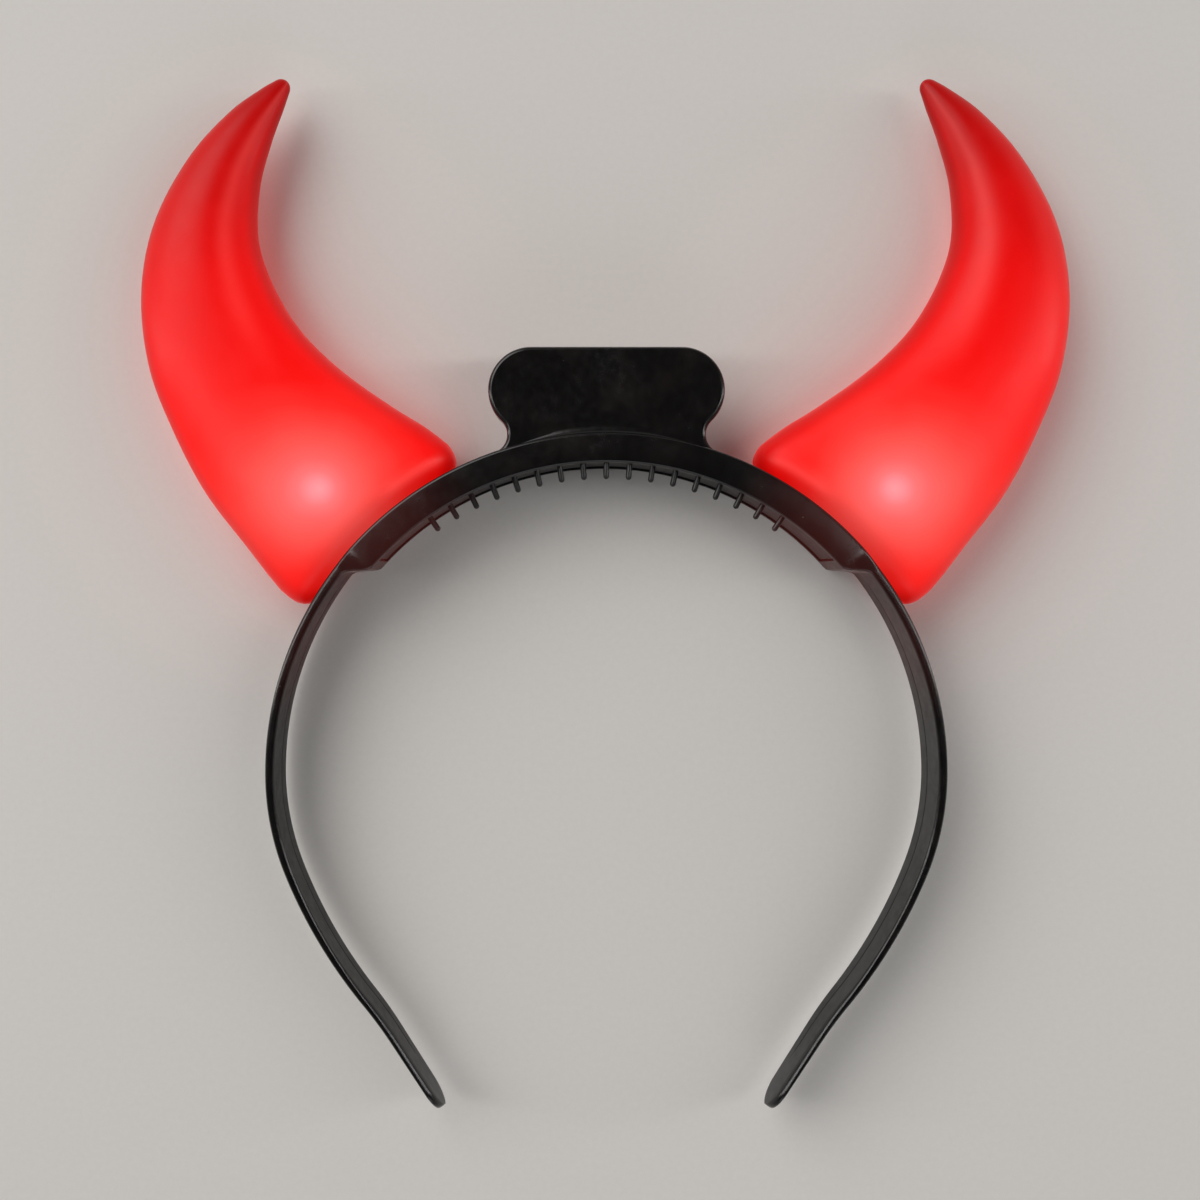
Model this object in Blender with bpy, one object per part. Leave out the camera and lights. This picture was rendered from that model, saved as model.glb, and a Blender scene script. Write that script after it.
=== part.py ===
"""Devil horns headband with two lit horns, lying on its back.

In a front view +X is right, +Y is up toward the horn tips and +Z is toward the viewer.
Lengths are in metres and the object stands at its real size.
"""

import math

import bmesh
import bpy
from mathutils import Vector

MM = 0.001

# Running gap between two pieces that touch on the real object
SEAT_GAP = 0.3 * MM

# Outer face of the head band in the front view, from the crown to one end: the round
# arch, the tighter curl below the ears' level, the slacker run and the flared end
ARCH_RADIUS = 68.5 * MM
ARCH_ANGLE = math.radians(90.0)
CURL_RADIUS = 55.0 * MM
CURL_ANGLE = math.radians(22.0)
SLACK_RADIUS = 103.0 * MM
SLACK_ANGLE = math.radians(17.0)
FLARE_RADIUS = 90.0 * MM
FLARE_ANGLE = math.radians(6.0)
END_STRAIGHT = 17.5 * MM

# Hollow housing over the crown
HOUSING_HALF_ANGLE = math.radians(47.8)
HOUSING_THICKNESS = 5.9 * MM
HOUSING_DEPTH = 20.0 * MM
HOUSING_WALL = 1.8 * MM
HOUSING_ROOF = 1.8 * MM
STEP_ANGLE = math.radians(7.0)

# Springy legs
LEG_THICKNESS = 2.0 * MM
LEG_END_THICKNESS = 1.5 * MM
LEG_DEPTH = 18.0 * MM
LEG_END_DEPTH = 9.5 * MM
LEG_END_ROUND = 4.8 * MM
BAND_EDGE_ROUND = 0.6 * MM

# Bare plate on the crown
TAB_WIDTH = 47.4 * MM
TAB_HEIGHT = 17.3 * MM
TAB_CORNER = 8.6 * MM
TAB_NECK_WIDTH = 39.8 * MM
TAB_NECK_FILLET = 3.7 * MM
TAB_THICKNESS = 5.0 * MM
TAB_SETBACK = 1.4 * MM
TAB_EDGE_ROUND = 0.8 * MM

# Comb strip in the mouth of the housing
COMB_THICKNESS = 1.4 * MM
COMB_RECESS = 0.4 * MM
COMB_PIN_PITCH = math.radians(4.3)
COMB_END_MARGIN = math.radians(11.4)
COMB_PIN_DIAMETER = 1.15 * MM
COMB_PIN_LENGTH = 3.6 * MM
COMB_PIN_SETBACK = 3.6 * MM

# Horns, each a gap away from the plate's foot
HORN_TAB_GAP = 6.3 * MM
HORN_LENGTH = 78.8 * MM
HORN_WIDTH = 46.0 * MM
HORN_DEPTH = 19.9 * MM
HORN_WALL = 1.5 * MM
HORN_FACE_ROUND = 4.0 * MM
HORN_END_ROUND = 6.0 * MM
HORN_TIP_RADIUS = 1.4 * MM
HORN_MOUTH_WIDTH = 26.0 * MM
HORN_MOUTH_DEPTH = 9.0 * MM
HORN_TIP_FILL = 12.0 * MM

# Lamps inside the horns
LAMP_DIAMETER = 5.0 * MM
LAMP_BODY_LENGTH = 5.2 * MM
LAMP_FLANGE_DIAMETER = 5.8 * MM
LAMP_FLANGE_HEIGHT = 1.0 * MM
LAMP_POST_DIAMETER = 4.6 * MM
LAMP_POST_LENGTH = 7.0 * MM
LAMP_TURN = math.radians(1.5)

# Columns: height above the arch, sideways shift, lean in degrees, width, depth, squareness.
# Height and shift are shares of HORN_LENGTH, width of HORN_WIDTH, depth of HORN_DEPTH.
# A negative shift or lean is toward the crown. Squareness 2 is an oval, more is boxier.
HORN_SECTIONS = (
    (0.000, -0.002, 0.0, 0.980, 1.00, 3.6),
    (0.085, -0.002, 0.0, 0.980, 1.00, 3.6),
    (0.190, 0.012, 1.0, 0.915, 1.00, 3.1),
    (0.355, 0.018, -2.0, 0.815, 1.00, 2.6),
    (0.508, -0.004, -11.0, 0.725, 1.00, 2.3),
    (0.635, -0.043, -22.0, 0.660, 0.98, 2.2),
    (0.761, -0.117, -37.0, 0.570, 0.93, 2.1),
    (0.863, -0.218, -53.0, 0.460, 0.83, 2.0),
    (0.939, -0.355, -67.0, 0.335, 0.66, 2.0),
    (0.977, -0.482, -79.0, 0.226, 0.47, 2.0),
    (0.992, -0.571, -82.0, 0.130, 0.29, 2.0),
    (1.000, -0.617, -83.0, 0.085, 0.18, 2.0),
)

# Share of the horn's height over which its sections flatten out of the arch's curve
HORN_SAG_SHARE = 0.11

# Least radius that an inset rounding or oval keeps
LEAST_RADIUS = 0.2 * MM

# Edges sharper than this stay crisp, the rest is shaded round
SHARP_ANGLE = math.radians(35.0)

# Fineness of the meshes
DOME_TURNS = (math.radians(35.0), math.radians(65.0))
END_FLAT_STEPS = 0.3
CORNER_STEPS = 2
HOUSING_STEPS = 26
STEP_STEPS = 7
ARCH_LEG_STEPS = 10
CURL_STEPS = 8
SLACK_STEPS = 7
FLARE_STEPS = 4
END_STEPS = 3
ROUND_STEPS = 5
ARC_STEPS = 7
HORN_SIDES = 28
HORN_STEPS = 20
FOOT_STEPS = 4
PIN_SIDES = 10
LAMP_SIDES = 14
DOME_STEPS = 4


def clear_scene():
    """Remove every object of the scene that the script starts in."""
    for scene_object in list(bpy.data.objects):
        bpy.data.objects.remove(scene_object, do_unlink=True)


def plastic(name, colour, roughness, emission=None):
    """Plain plastic, glowing where an emission strength is given."""
    material = bpy.data.materials.new(name)
    material.use_nodes = True
    shader = material.node_tree.nodes["Principled BSDF"]
    shader.inputs["Base Color"].default_value = (*colour, 1.0)
    shader.inputs["Roughness"].default_value = roughness
    shader.inputs["Metallic"].default_value = 0.0
    if emission:
        shader.inputs["Emission Color"].default_value = (*colour, 1.0)
        shader.inputs["Emission Strength"].default_value = emission
    return material


def mix(first, second, share):
    """Value a share of the way from first to second."""
    return first + (second - first) * share


def smooth_share(value):
    """Share from 0 to 1 that starts and ends level."""
    value = min(max(value, 0.0), 1.0)
    return value * value * (3.0 - 2.0 * value)


def add_skin(shape, rings):
    """Add to a shape a skin that runs through rings of equal count and closes at both ends."""
    loops = [[shape.verts.new(point) for point in ring] for ring in rings]
    count = len(rings[0])
    for lower, upper in zip(loops[:-1], loops[1:]):
        for side in range(count):
            following = (side + 1) % count
            shape.faces.new((lower[side], lower[following], upper[following], upper[side]))
    for loop in (loops[0], loops[-1]):
        centre = sum((vertex.co for vertex in loop), Vector()) / count
        pole = shape.verts.new(centre)
        for side in range(count):
            shape.faces.new((loop[side], loop[(side + 1) % count], pole))


def finish_solid(name, shape, material, parent):
    """Object made of a shape, facing out and shaded smooth, its parent the given one."""
    bmesh.ops.recalc_face_normals(shape, faces=shape.faces)
    mesh = bpy.data.meshes.new(name)
    shape.to_mesh(mesh)
    shape.free()
    mesh.materials.append(material)
    mesh.shade_smooth()
    mesh.set_sharp_from_angle(angle=SHARP_ANGLE)
    solid = bpy.data.objects.new(name, mesh)
    bpy.context.scene.collection.objects.link(solid)
    solid.parent = parent
    return solid


def skin(name, rings, material, parent):
    """Solid whose skin runs through rings of equal count and closes at both ends."""
    shape = bmesh.new()
    add_skin(shape, rings)
    return finish_solid(name, shape, material, parent)


def as_tool(solid):
    """Mark an object as one that only shapes another."""
    solid.hide_render = True
    solid.display_type = "WIRE"
    return solid


def combine(solid, tool, operation):
    """Join or cut a solid with a tool object."""
    modifier = solid.modifiers.new(operation.title(), "BOOLEAN")
    modifier.operation = operation
    modifier.solver = "EXACT"
    modifier.object = tool


def arc_points(centre, radius, start, end, steps=ARC_STEPS):
    """Points on an arc in the front view, from one angle to another."""
    points = []
    for step in range(steps + 1):
        angle = mix(start, end, step / steps)
        points.append((centre[0] + radius * math.cos(angle), centre[1] + radius * math.sin(angle)))
    return points


def polar(radius, angle, height=0.0):
    """Point at an angle from the crown, positive toward +X."""
    return Vector((radius * math.sin(angle), radius * math.cos(angle), height))


def rounded_section(width, depth, radius):
    """Rounded rectangle as (inward, forward) pairs, its outer face at inward 0."""
    radius = min(radius, 0.45 * width, 0.45 * depth)
    corners = (
        (radius, depth / 2.0 - radius, 90.0),
        (radius, radius - depth / 2.0, 180.0),
        (width - radius, radius - depth / 2.0, 270.0),
        (width - radius, depth / 2.0 - radius, 0.0),
    )
    points = []
    for inward, forward, start in corners:
        for step in range(CORNER_STEPS + 1):
            angle = math.radians(start + 90.0 * step / CORNER_STEPS)
            points.append((inward + radius * math.cos(angle), forward + radius * math.sin(angle)))
    return points


def band_arcs():
    """Arcs of the band's outer face as (radius, turn); a flare's turn is negative."""
    return (
        (ARCH_RADIUS, ARCH_ANGLE),
        (CURL_RADIUS, CURL_ANGLE),
        (SLACK_RADIUS, SLACK_ANGLE),
        (FLARE_RADIUS, -FLARE_ANGLE),
    )


def band_length():
    """Length of the band's outer face from the crown to one end."""
    return sum(radius * abs(turn) for radius, turn in band_arcs()) + END_STRAIGHT


def band_point(distance):
    """Outer face of the right leg: its point and its inward direction."""
    point = polar(ARCH_RADIUS, 0.0)
    angle = 0.0
    rest = distance
    for radius, turn in band_arcs():
        length = min(rest, radius * abs(turn))
        turned = math.copysign(length / radius, turn)
        bend = math.copysign(radius, turn)
        point += polar(bend, angle + turned) - polar(bend, angle)
        angle += turned
        rest -= length
        if rest <= 0.0:
            return point, -polar(1.0, angle)
    heading = Vector((math.cos(angle), -math.sin(angle), 0.0))
    return point + heading * rest, -polar(1.0, angle)


def band_size(distance):
    """Thickness and depth of the band at a distance from the crown."""
    step_start = ARCH_RADIUS * HOUSING_HALF_ANGLE
    step_length = ARCH_RADIUS * STEP_ANGLE
    step = smooth_share((distance - step_start) / step_length)
    leg_start = step_start + step_length
    along = min(max((distance - leg_start) / (band_length() - leg_start), 0.0), 1.0)
    thickness = mix(HOUSING_THICKNESS, mix(LEG_THICKNESS, LEG_END_THICKNESS, along), step)
    depth = mix(HOUSING_DEPTH, mix(LEG_DEPTH, LEG_END_DEPTH, along), step)
    end_share = max(1.0 - (band_length() - distance) / LEG_END_ROUND, 0.0)
    return thickness, depth * math.sqrt(max(1.0 - end_share * end_share, 0.0))


def spread(start, end, steps):
    """Evenly spaced values after start, up to and with end."""
    return [mix(start, end, step / steps) for step in range(1, steps + 1)]


def band_stations():
    """Distances from the crown at which the band's section is set."""
    housing_end = ARCH_RADIUS * HOUSING_HALF_ANGLE
    step_end = housing_end + ARCH_RADIUS * STEP_ANGLE
    round_start = band_length() - LEG_END_ROUND
    stations = [0.0]
    stations += spread(0.0, housing_end, HOUSING_STEPS // 2)
    stations += spread(housing_end, step_end, STEP_STEPS)
    start = step_end
    end = 0.0
    steps = (ARCH_LEG_STEPS, CURL_STEPS, SLACK_STEPS, FLARE_STEPS)
    for (radius, turn), count in zip(band_arcs(), steps):
        end += radius * abs(turn)
        stations += spread(start, end, count)
        start = end
    stations += spread(start, round_start, END_STEPS)
    for step in range(1, ROUND_STEPS + 1):
        turn = 0.5 * math.pi * step / (ROUND_STEPS + END_FLAT_STEPS)
        stations.append(round_start + LEG_END_ROUND * math.sin(turn))
    return stations


def band_ring(distance, side):
    """Section of the band at a distance from the crown, on the side +1 or -1."""
    point, inward = band_point(distance)
    thickness, depth = band_size(distance)
    ring = []
    for into, forward in rounded_section(thickness, depth, BAND_EDGE_ROUND):
        place = point + inward * into
        ring.append((side * place.x, place.y, forward + HOUSING_DEPTH / 2.0))
    return ring


def arch_block(name, half_angle, outer, inner, back, front, steps, material, parent):
    """Block that follows the arch between two radii, a back and a front face."""
    rings = []
    for step in range(steps + 1):
        angle = mix(-half_angle, half_angle, step / steps)
        rings.append(
            (
                polar(outer, angle, front),
                polar(outer, angle, back),
                polar(inner, angle, back),
                polar(inner, angle, front),
            )
        )
    return skin(name, rings, material, parent)


def housing_inner_radius():
    """Radius of the housing's rim on the head side."""
    return ARCH_RADIUS - HOUSING_THICKNESS


def channel_half_angle():
    """Half angle of the housing's channel, one wall short of the housing's end."""
    return HOUSING_HALF_ANGLE - HOUSING_WALL / housing_inner_radius()


def tab_half_outline():
    """Right half of the plate's outline, from the arch up to its top edge."""
    corner_x = TAB_WIDTH / 2.0 - TAB_CORNER
    corner_y = ARCH_RADIUS + TAB_HEIGHT - TAB_CORNER
    neck_x = TAB_NECK_WIDTH / 2.0 + TAB_NECK_FILLET
    foot_reach = ARCH_RADIUS + TAB_NECK_FILLET
    corner_reach = TAB_CORNER + TAB_NECK_FILLET
    foot_y = math.sqrt(foot_reach**2 - neck_x**2)
    top_y = corner_y - math.sqrt(max(corner_reach**2 - (neck_x - corner_x) ** 2, 0.0))
    foot = (neck_x, foot_y)
    top = (neck_x, top_y)
    if top_y < foot_y:
        # A short plate has one fillet, tangent to the arch and to the corner
        span = math.hypot(corner_x, corner_y)
        along = (foot_reach**2 - corner_reach**2 + span**2) / (2.0 * span)
        aside = math.sqrt(max(foot_reach**2 - along**2, 0.0))
        unit = (corner_x / span, corner_y / span)
        foot = (along * unit[0] + aside * unit[1], along * unit[1] - aside * unit[0])
        top = foot
    foot_start = math.atan2(-foot[1], -foot[0]) + 2.0 * math.pi
    corner_turn = math.atan2(corner_y - top[1], corner_x - top[0])
    points = arc_points(foot, TAB_NECK_FILLET, foot_start, math.pi)
    points += arc_points(top, TAB_NECK_FILLET, math.pi, corner_turn)[1:]
    corner = (corner_x, corner_y)
    points += arc_points(corner, TAB_CORNER, corner_turn - math.pi, math.pi / 2.0, 2 * ARC_STEPS)[1:]
    return points


def tab_foot_angle():
    """Angle from the crown at which the plate's foot runs out into the arch."""
    across, up = tab_half_outline()[0]
    return math.atan2(across, up)


def make_tab(material, parent):
    """Rounded plate on the crown, rooted in the housing's roof."""
    half = tab_half_outline()
    root_radius = ARCH_RADIUS - 0.5 * HOUSING_ROOF
    foot_angle = tab_foot_angle()
    root = [polar(root_radius, angle) for angle in spread(-foot_angle, foot_angle, 2 * ARC_STEPS)]
    outline = [(point.x, point.y) for point in root]
    outline += half
    outline += [(-x, y) for x, y in reversed(half)]
    outline.append((-root[-1].x, root[-1].y))
    back = HOUSING_DEPTH - TAB_SETBACK - TAB_THICKNESS
    front = HOUSING_DEPTH - TAB_SETBACK
    edge = min(TAB_EDGE_ROUND, 0.4 * TAB_THICKNESS)
    shape = bmesh.new()
    lower = [shape.verts.new((x, y, back)) for x, y in outline]
    face = shape.faces.new(lower)
    moved = bmesh.ops.extrude_face_region(shape, geom=[face])["geom"]
    upper = [item for item in moved if isinstance(item, bmesh.types.BMVert)]
    bmesh.ops.translate(shape, verts=upper, vec=(0.0, 0.0, front - back))
    bmesh.ops.recalc_face_normals(shape, faces=shape.faces)
    rim = [item for item in shape.edges if item.verts[0].co.z == item.verts[1].co.z]
    bmesh.ops.bevel(shape, geom=rim, offset=edge, segments=2, profile=0.5, affect="EDGES")
    return as_tool(finish_solid("tab_shape", shape, material, parent))


def make_headband(material, parent):
    """Legs, housing and plate as one moulding."""
    stations = band_stations()
    rings = [band_ring(distance, -1.0) for distance in reversed(stations[1:])]
    rings += [band_ring(distance, 1.0) for distance in stations]
    band = skin("headband", rings, material, parent)
    combine(band, make_tab(material, parent), "UNION")
    channel = arch_block(
        "channel_shape",
        channel_half_angle(),
        ARCH_RADIUS - HOUSING_ROOF,
        housing_inner_radius() - HOUSING_WALL,
        HOUSING_WALL,
        HOUSING_DEPTH - HOUSING_WALL,
        HOUSING_STEPS,
        material,
        parent,
    )
    combine(band, as_tool(channel), "DIFFERENCE")
    return band


def pin_profile():
    """Depth and radius of a comb pin's rings, from its root to its domed end."""
    radius = COMB_PIN_DIAMETER / 2.0
    shoulder = COMB_THICKNESS / 2.0 + COMB_PIN_LENGTH - radius
    dome = [(shoulder + radius * math.sin(turn), radius * math.cos(turn)) for turn in DOME_TURNS]
    return [(0.0, radius), (shoulder, radius)] + dome


def pin_rings(angle, root_radius):
    """Rings of one comb pin that points to the head at an angle from the crown."""
    inward = -polar(1.0, angle)
    across = Vector((math.cos(angle), -math.sin(angle), 0.0))
    forward = Vector((0.0, 0.0, 1.0))
    root = polar(root_radius, angle, HOUSING_DEPTH - COMB_PIN_SETBACK)
    rings = []
    for depth, radius in pin_profile():
        ring = []
        for side in range(PIN_SIDES):
            turn = 2.0 * math.pi * side / PIN_SIDES
            place = (across * math.cos(turn) + forward * math.sin(turn)) * radius
            ring.append(root + inward * depth + place)
        rings.append(ring)
    return rings


def make_pins(root_radius, material, parent):
    """Row of comb pins, as many as fit between the margins at the strip's ends."""
    pins_each_side = int((channel_half_angle() - COMB_END_MARGIN) / COMB_PIN_PITCH)
    shape = bmesh.new()
    for pin in range(-pins_each_side, pins_each_side + 1):
        add_skin(shape, pin_rings(pin * COMB_PIN_PITCH, root_radius))
    return as_tool(finish_solid("pin_shapes", shape, material, parent))


def make_comb(material, parent):
    """Strip that closes the housing's channel, with its row of pins."""
    inner = housing_inner_radius() + COMB_RECESS
    outer = inner + COMB_THICKNESS
    comb = arch_block(
        "comb_strip",
        channel_half_angle() - SEAT_GAP / inner,
        outer,
        inner,
        HOUSING_WALL + SEAT_GAP,
        HOUSING_DEPTH - HOUSING_WALL - SEAT_GAP,
        2 * HOUSING_STEPS,
        material,
        parent,
    )
    combine(comb, make_pins(inner + COMB_THICKNESS / 2.0, material, parent), "UNION")
    return comb


def blend_rows(rows, place):
    """Smooth value of each column of a table at a place from 0 to its last row."""
    last = len(rows) - 1
    index = min(int(place), last - 1)
    share = place - index
    before = rows[max(index - 1, 0)]
    start = rows[index]
    end = rows[index + 1]
    after = rows[min(index + 2, last)]
    blended = []
    for column in range(len(start)):
        enter = 0.5 * (end[column] - before[column])
        leave = 0.5 * (after[column] - start[column])
        square = share * share
        cube = square * share
        blended.append(
            start[column] * (2.0 * cube - 3.0 * square + 1.0)
            + enter * (cube - 2.0 * square + share)
            + end[column] * (3.0 * square - 2.0 * cube)
            + leave * (cube - square)
        )
    return blended


def arch_drop(across):
    """Drop of the arch's face, and of what seats on it, away from the middle of a horn."""
    seat_radius = ARCH_RADIUS + SEAT_GAP
    return seat_radius - math.sqrt(max(seat_radius**2 - across**2, 0.0))


def sag_share(height):
    """Share of the arch's drop that the horn's skin still follows at a height."""
    return 1.0 - smooth_share(height / (HORN_SAG_SHARE * HORN_LENGTH))


def unit_ring(squareness):
    """Points around a ring of half width 1 and half depth 1, an oval at squareness 2."""
    points = []
    for side in range(HORN_SIDES):
        turn = 2.0 * math.pi * side / HORN_SIDES
        pair = (math.cos(turn), math.sin(turn))
        points.append([math.copysign(abs(value) ** (2.0 / squareness), value) for value in pair])
    return points


def horn_ring(section, inset):
    """Ring of the horn's skin, moved inward by an inset, in the horn's own axes."""
    height, shift, lean, width, depth, squareness = section
    half_width = max(width * HORN_WIDTH / 2.0 - inset, LEAST_RADIUS)
    half_depth = max(depth * HORN_DEPTH / 2.0 - inset, LEAST_RADIUS)
    lean = math.radians(lean)
    sag = sag_share(height * HORN_LENGTH)
    ring = []
    for side, front in unit_ring(squareness):
        across = half_width * side
        place = shift * HORN_LENGTH + across * math.cos(lean)
        rise = height * HORN_LENGTH - across * math.sin(lean) - arch_drop(across) * sag
        ring.append((place, rise, half_depth * front))
    return ring


def foot_ring(inset, edge):
    """Ring on the rounded edge of the horn's foot, from its sole (0) to its wall (90 degrees)."""
    _, shift, _, width, depth, squareness = HORN_SECTIONS[0]
    end_round = max(HORN_END_ROUND - inset, LEAST_RADIUS)
    face_round = max(HORN_FACE_ROUND - inset, LEAST_RADIUS)
    half_width = width * HORN_WIDTH / 2.0 - inset - end_round * (1.0 - math.sin(edge))
    half_depth = depth * HORN_DEPTH / 2.0 - inset - face_round * (1.0 - math.sin(edge))
    ring = []
    for side, front in unit_ring(squareness):
        across = shift * HORN_LENGTH + half_width * side
        rounding = mix(face_round, end_round, side**4)
        rise = inset + rounding * (1.0 - math.cos(edge))
        ring.append((across, rise - arch_drop(across) * sag_share(rise), half_depth * front))
    return ring


def foot_rings(inset):
    """Rings around the horn's foot, from its sole up to just below its wall."""
    return [foot_ring(inset, 0.5 * math.pi * step / FOOT_STEPS) for step in range(FOOT_STEPS)]


def wall_rings(inset, start_height, end_height):
    """Rings up the horn's wall between two heights along its table of sections."""
    rings = []
    last = len(HORN_SECTIONS) - 1
    for step in range(HORN_STEPS + 1):
        section = blend_rows(HORN_SECTIONS, last * step / HORN_STEPS)
        along = horn_path(section)
        if start_height <= along <= end_height:
            rings.append(horn_ring(section, inset))
    return rings


def horn_path(section):
    """Length along the horn's middle line from its foot, near enough for its rings."""
    height, shift = section[0], section[1]
    return HORN_LENGTH * math.hypot(height, shift - HORN_SECTIONS[0][1])


def tip_rings():
    """Rings that close the horn in a round tip."""
    section = list(HORN_SECTIONS[-1])
    lean = math.radians(section[2])
    heading = (math.sin(lean), math.cos(lean))
    rings = []
    for turn in DOME_TURNS:
        reach = HORN_TIP_RADIUS * math.sin(turn) / HORN_LENGTH
        row = list(section)
        row[0] += heading[1] * reach
        row[1] += heading[0] * reach
        row[3] *= math.cos(turn)
        row[4] *= math.cos(turn)
        rings.append(horn_ring(row, 0.0))
    return rings


def mouth_ring(lift):
    """Oval mouth in the horn's foot, lifted from the foot's face."""
    ring = []
    for side, front in unit_ring(HORN_SECTIONS[0][5]):
        across = HORN_SECTIONS[0][1] * HORN_LENGTH + HORN_MOUTH_WIDTH / 2.0 * side
        ring.append((across, lift - arch_drop(across), HORN_MOUTH_DEPTH / 2.0 * front))
    return ring


def horn_angle():
    """Angle from the crown at which a horn stands, its foot a gap away from the plate's."""
    foot_half_width = HORN_SECTIONS[0][3] * HORN_WIDTH / 2.0
    foot_half_angle = math.asin(min(foot_half_width / (ARCH_RADIUS + SEAT_GAP), 1.0))
    return tab_foot_angle() + HORN_TAB_GAP / ARCH_RADIUS + foot_half_angle


def stand_on_arch(rings, side, turn):
    """Rings about an upright axis, stood on the arch at an angle, on the side +1 or -1."""
    outward = polar(1.0, turn)
    along = Vector((math.cos(turn), -math.sin(turn), 0.0))
    seat = polar(ARCH_RADIUS + SEAT_GAP, turn, HOUSING_DEPTH / 2.0)
    stood = []
    for ring in rings:
        places = [(seat + along * across + outward * height, forward) for across, height, forward in ring]
        stood.append([(side * place.x, place.y, place.z + forward) for place, forward in places])
    return stood


def make_horn(name, side, material, parent):
    """Hollow curved horn on the side +1 or -1, open at its foot for the lamp."""
    tip_start = horn_path(HORN_SECTIONS[-1])
    rings = tip_rings()[::-1]
    rings += wall_rings(0.0, HORN_END_ROUND, tip_start)[::-1]
    rings += foot_rings(0.0)[::-1]
    rings += [mouth_ring(0.0), mouth_ring(HORN_WALL)]
    rings += foot_rings(HORN_WALL)
    rings += wall_rings(HORN_WALL, HORN_END_ROUND, tip_start - HORN_TIP_FILL)
    return skin(name, stand_on_arch(rings, side, horn_angle()), material, parent)


def make_lamp(name, side, material, parent):
    """Domed lamp on a post that stands on the arch inside a horn."""
    radius = LAMP_DIAMETER / 2.0
    body = LAMP_POST_LENGTH + LAMP_FLANGE_HEIGHT
    dome = LAMP_POST_LENGTH + LAMP_BODY_LENGTH
    profile = [
        (0.0, LAMP_POST_DIAMETER / 2.0),
        (LAMP_POST_LENGTH, LAMP_POST_DIAMETER / 2.0),
        (LAMP_POST_LENGTH, LAMP_FLANGE_DIAMETER / 2.0),
        (body, LAMP_FLANGE_DIAMETER / 2.0),
        (body, radius),
        (dome, radius),
    ]
    for step in range(1, DOME_STEPS + 1):
        turn = 0.5 * math.pi * step / (DOME_STEPS + END_FLAT_STEPS)
        profile.append((dome + radius * math.sin(turn), radius * math.cos(turn)))
    rings = []
    for height, size in profile:
        turns = [2.0 * math.pi * step / LAMP_SIDES for step in range(LAMP_SIDES)]
        rings.append([(size * math.cos(turn), height, size * math.sin(turn)) for turn in turns])
    return skin(name, stand_on_arch(rings, side, horn_angle() + LAMP_TURN), material, parent)


def centre_on_floor(anchor, solids):
    """Move the whole object so that it rests at z = 0 with its middle over the origin."""
    bpy.context.view_layer.update()
    graph = bpy.context.evaluated_depsgraph_get()
    points = []
    for solid in solids:
        evaluated = solid.evaluated_get(graph)
        points += [evaluated.matrix_world @ vertex.co for vertex in evaluated.data.vertices]
    low = [min(point[axis] for point in points) for axis in range(3)]
    high = [max(point[axis] for point in points) for axis in range(3)]
    anchor.location = (-(low[0] + high[0]) / 2.0, -(low[1] + high[1]) / 2.0, -low[2])
    bpy.context.view_layer.update()


def main():
    """Model the whole headband."""
    clear_scene()
    black = plastic("black_plastic", (0.012, 0.011, 0.012), 0.38)
    comb_black = plastic("comb_plastic", (0.016, 0.015, 0.016), 0.45)
    red = plastic("red_plastic", (0.80, 0.015, 0.015), 0.35, emission=1.0)
    lamp_clear = plastic("lamp_plastic", (1.0, 0.55, 0.55), 0.2, emission=3.0)
    anchor = bpy.data.objects.new("arch_centre", None)
    bpy.context.scene.collection.objects.link(anchor)
    solids = [
        make_headband(black, anchor),
        make_comb(comb_black, anchor),
        make_horn("horn_left", -1.0, red, anchor),
        make_horn("horn_right", 1.0, red, anchor),
        make_lamp("lamp_left", -1.0, lamp_clear, anchor),
        make_lamp("lamp_right", 1.0, lamp_clear, anchor),
    ]
    centre_on_floor(anchor, solids)


main()
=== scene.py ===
"""Light-up devil horns headband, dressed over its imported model.

Run as a script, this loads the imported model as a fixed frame, replaces each of its nodes
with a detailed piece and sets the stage.
The headband lies on its back: +X is right, +Y is up toward the horn tips and +Z is toward
the viewer. Lengths are in metres.
"""

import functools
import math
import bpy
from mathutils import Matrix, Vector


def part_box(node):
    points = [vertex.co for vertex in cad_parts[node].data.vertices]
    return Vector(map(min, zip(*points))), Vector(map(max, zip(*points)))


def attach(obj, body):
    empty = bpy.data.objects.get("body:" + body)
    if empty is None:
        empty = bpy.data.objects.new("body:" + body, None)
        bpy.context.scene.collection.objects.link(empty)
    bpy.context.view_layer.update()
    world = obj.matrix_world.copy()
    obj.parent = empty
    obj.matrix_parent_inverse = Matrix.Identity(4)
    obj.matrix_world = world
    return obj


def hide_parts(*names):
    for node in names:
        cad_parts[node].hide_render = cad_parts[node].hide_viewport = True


bl_info = {
    "name": "Devil Horns Headband",
    "version": (1, 0, 0),
    "blender": (4, 5, 0),
    "location": "3D View > Sidebar > Headband",
    "description": "Builds a light-up devil horns headband piece by piece",
    "category": "Object",
}

import bmesh
import bpy
from bpy.props import FloatProperty, FloatVectorProperty, PointerProperty
from mathutils import Vector

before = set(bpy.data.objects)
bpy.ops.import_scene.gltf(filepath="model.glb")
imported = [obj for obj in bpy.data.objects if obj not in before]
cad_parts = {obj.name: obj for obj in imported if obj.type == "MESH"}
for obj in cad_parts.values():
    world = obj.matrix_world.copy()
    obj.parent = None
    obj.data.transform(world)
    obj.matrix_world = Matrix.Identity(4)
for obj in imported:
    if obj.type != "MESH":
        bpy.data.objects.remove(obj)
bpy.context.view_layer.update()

MM = 0.001
BODY = "root"

# Running gap between two pieces that touch on the real object
SEAT_GAP = 0.3 * MM

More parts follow.
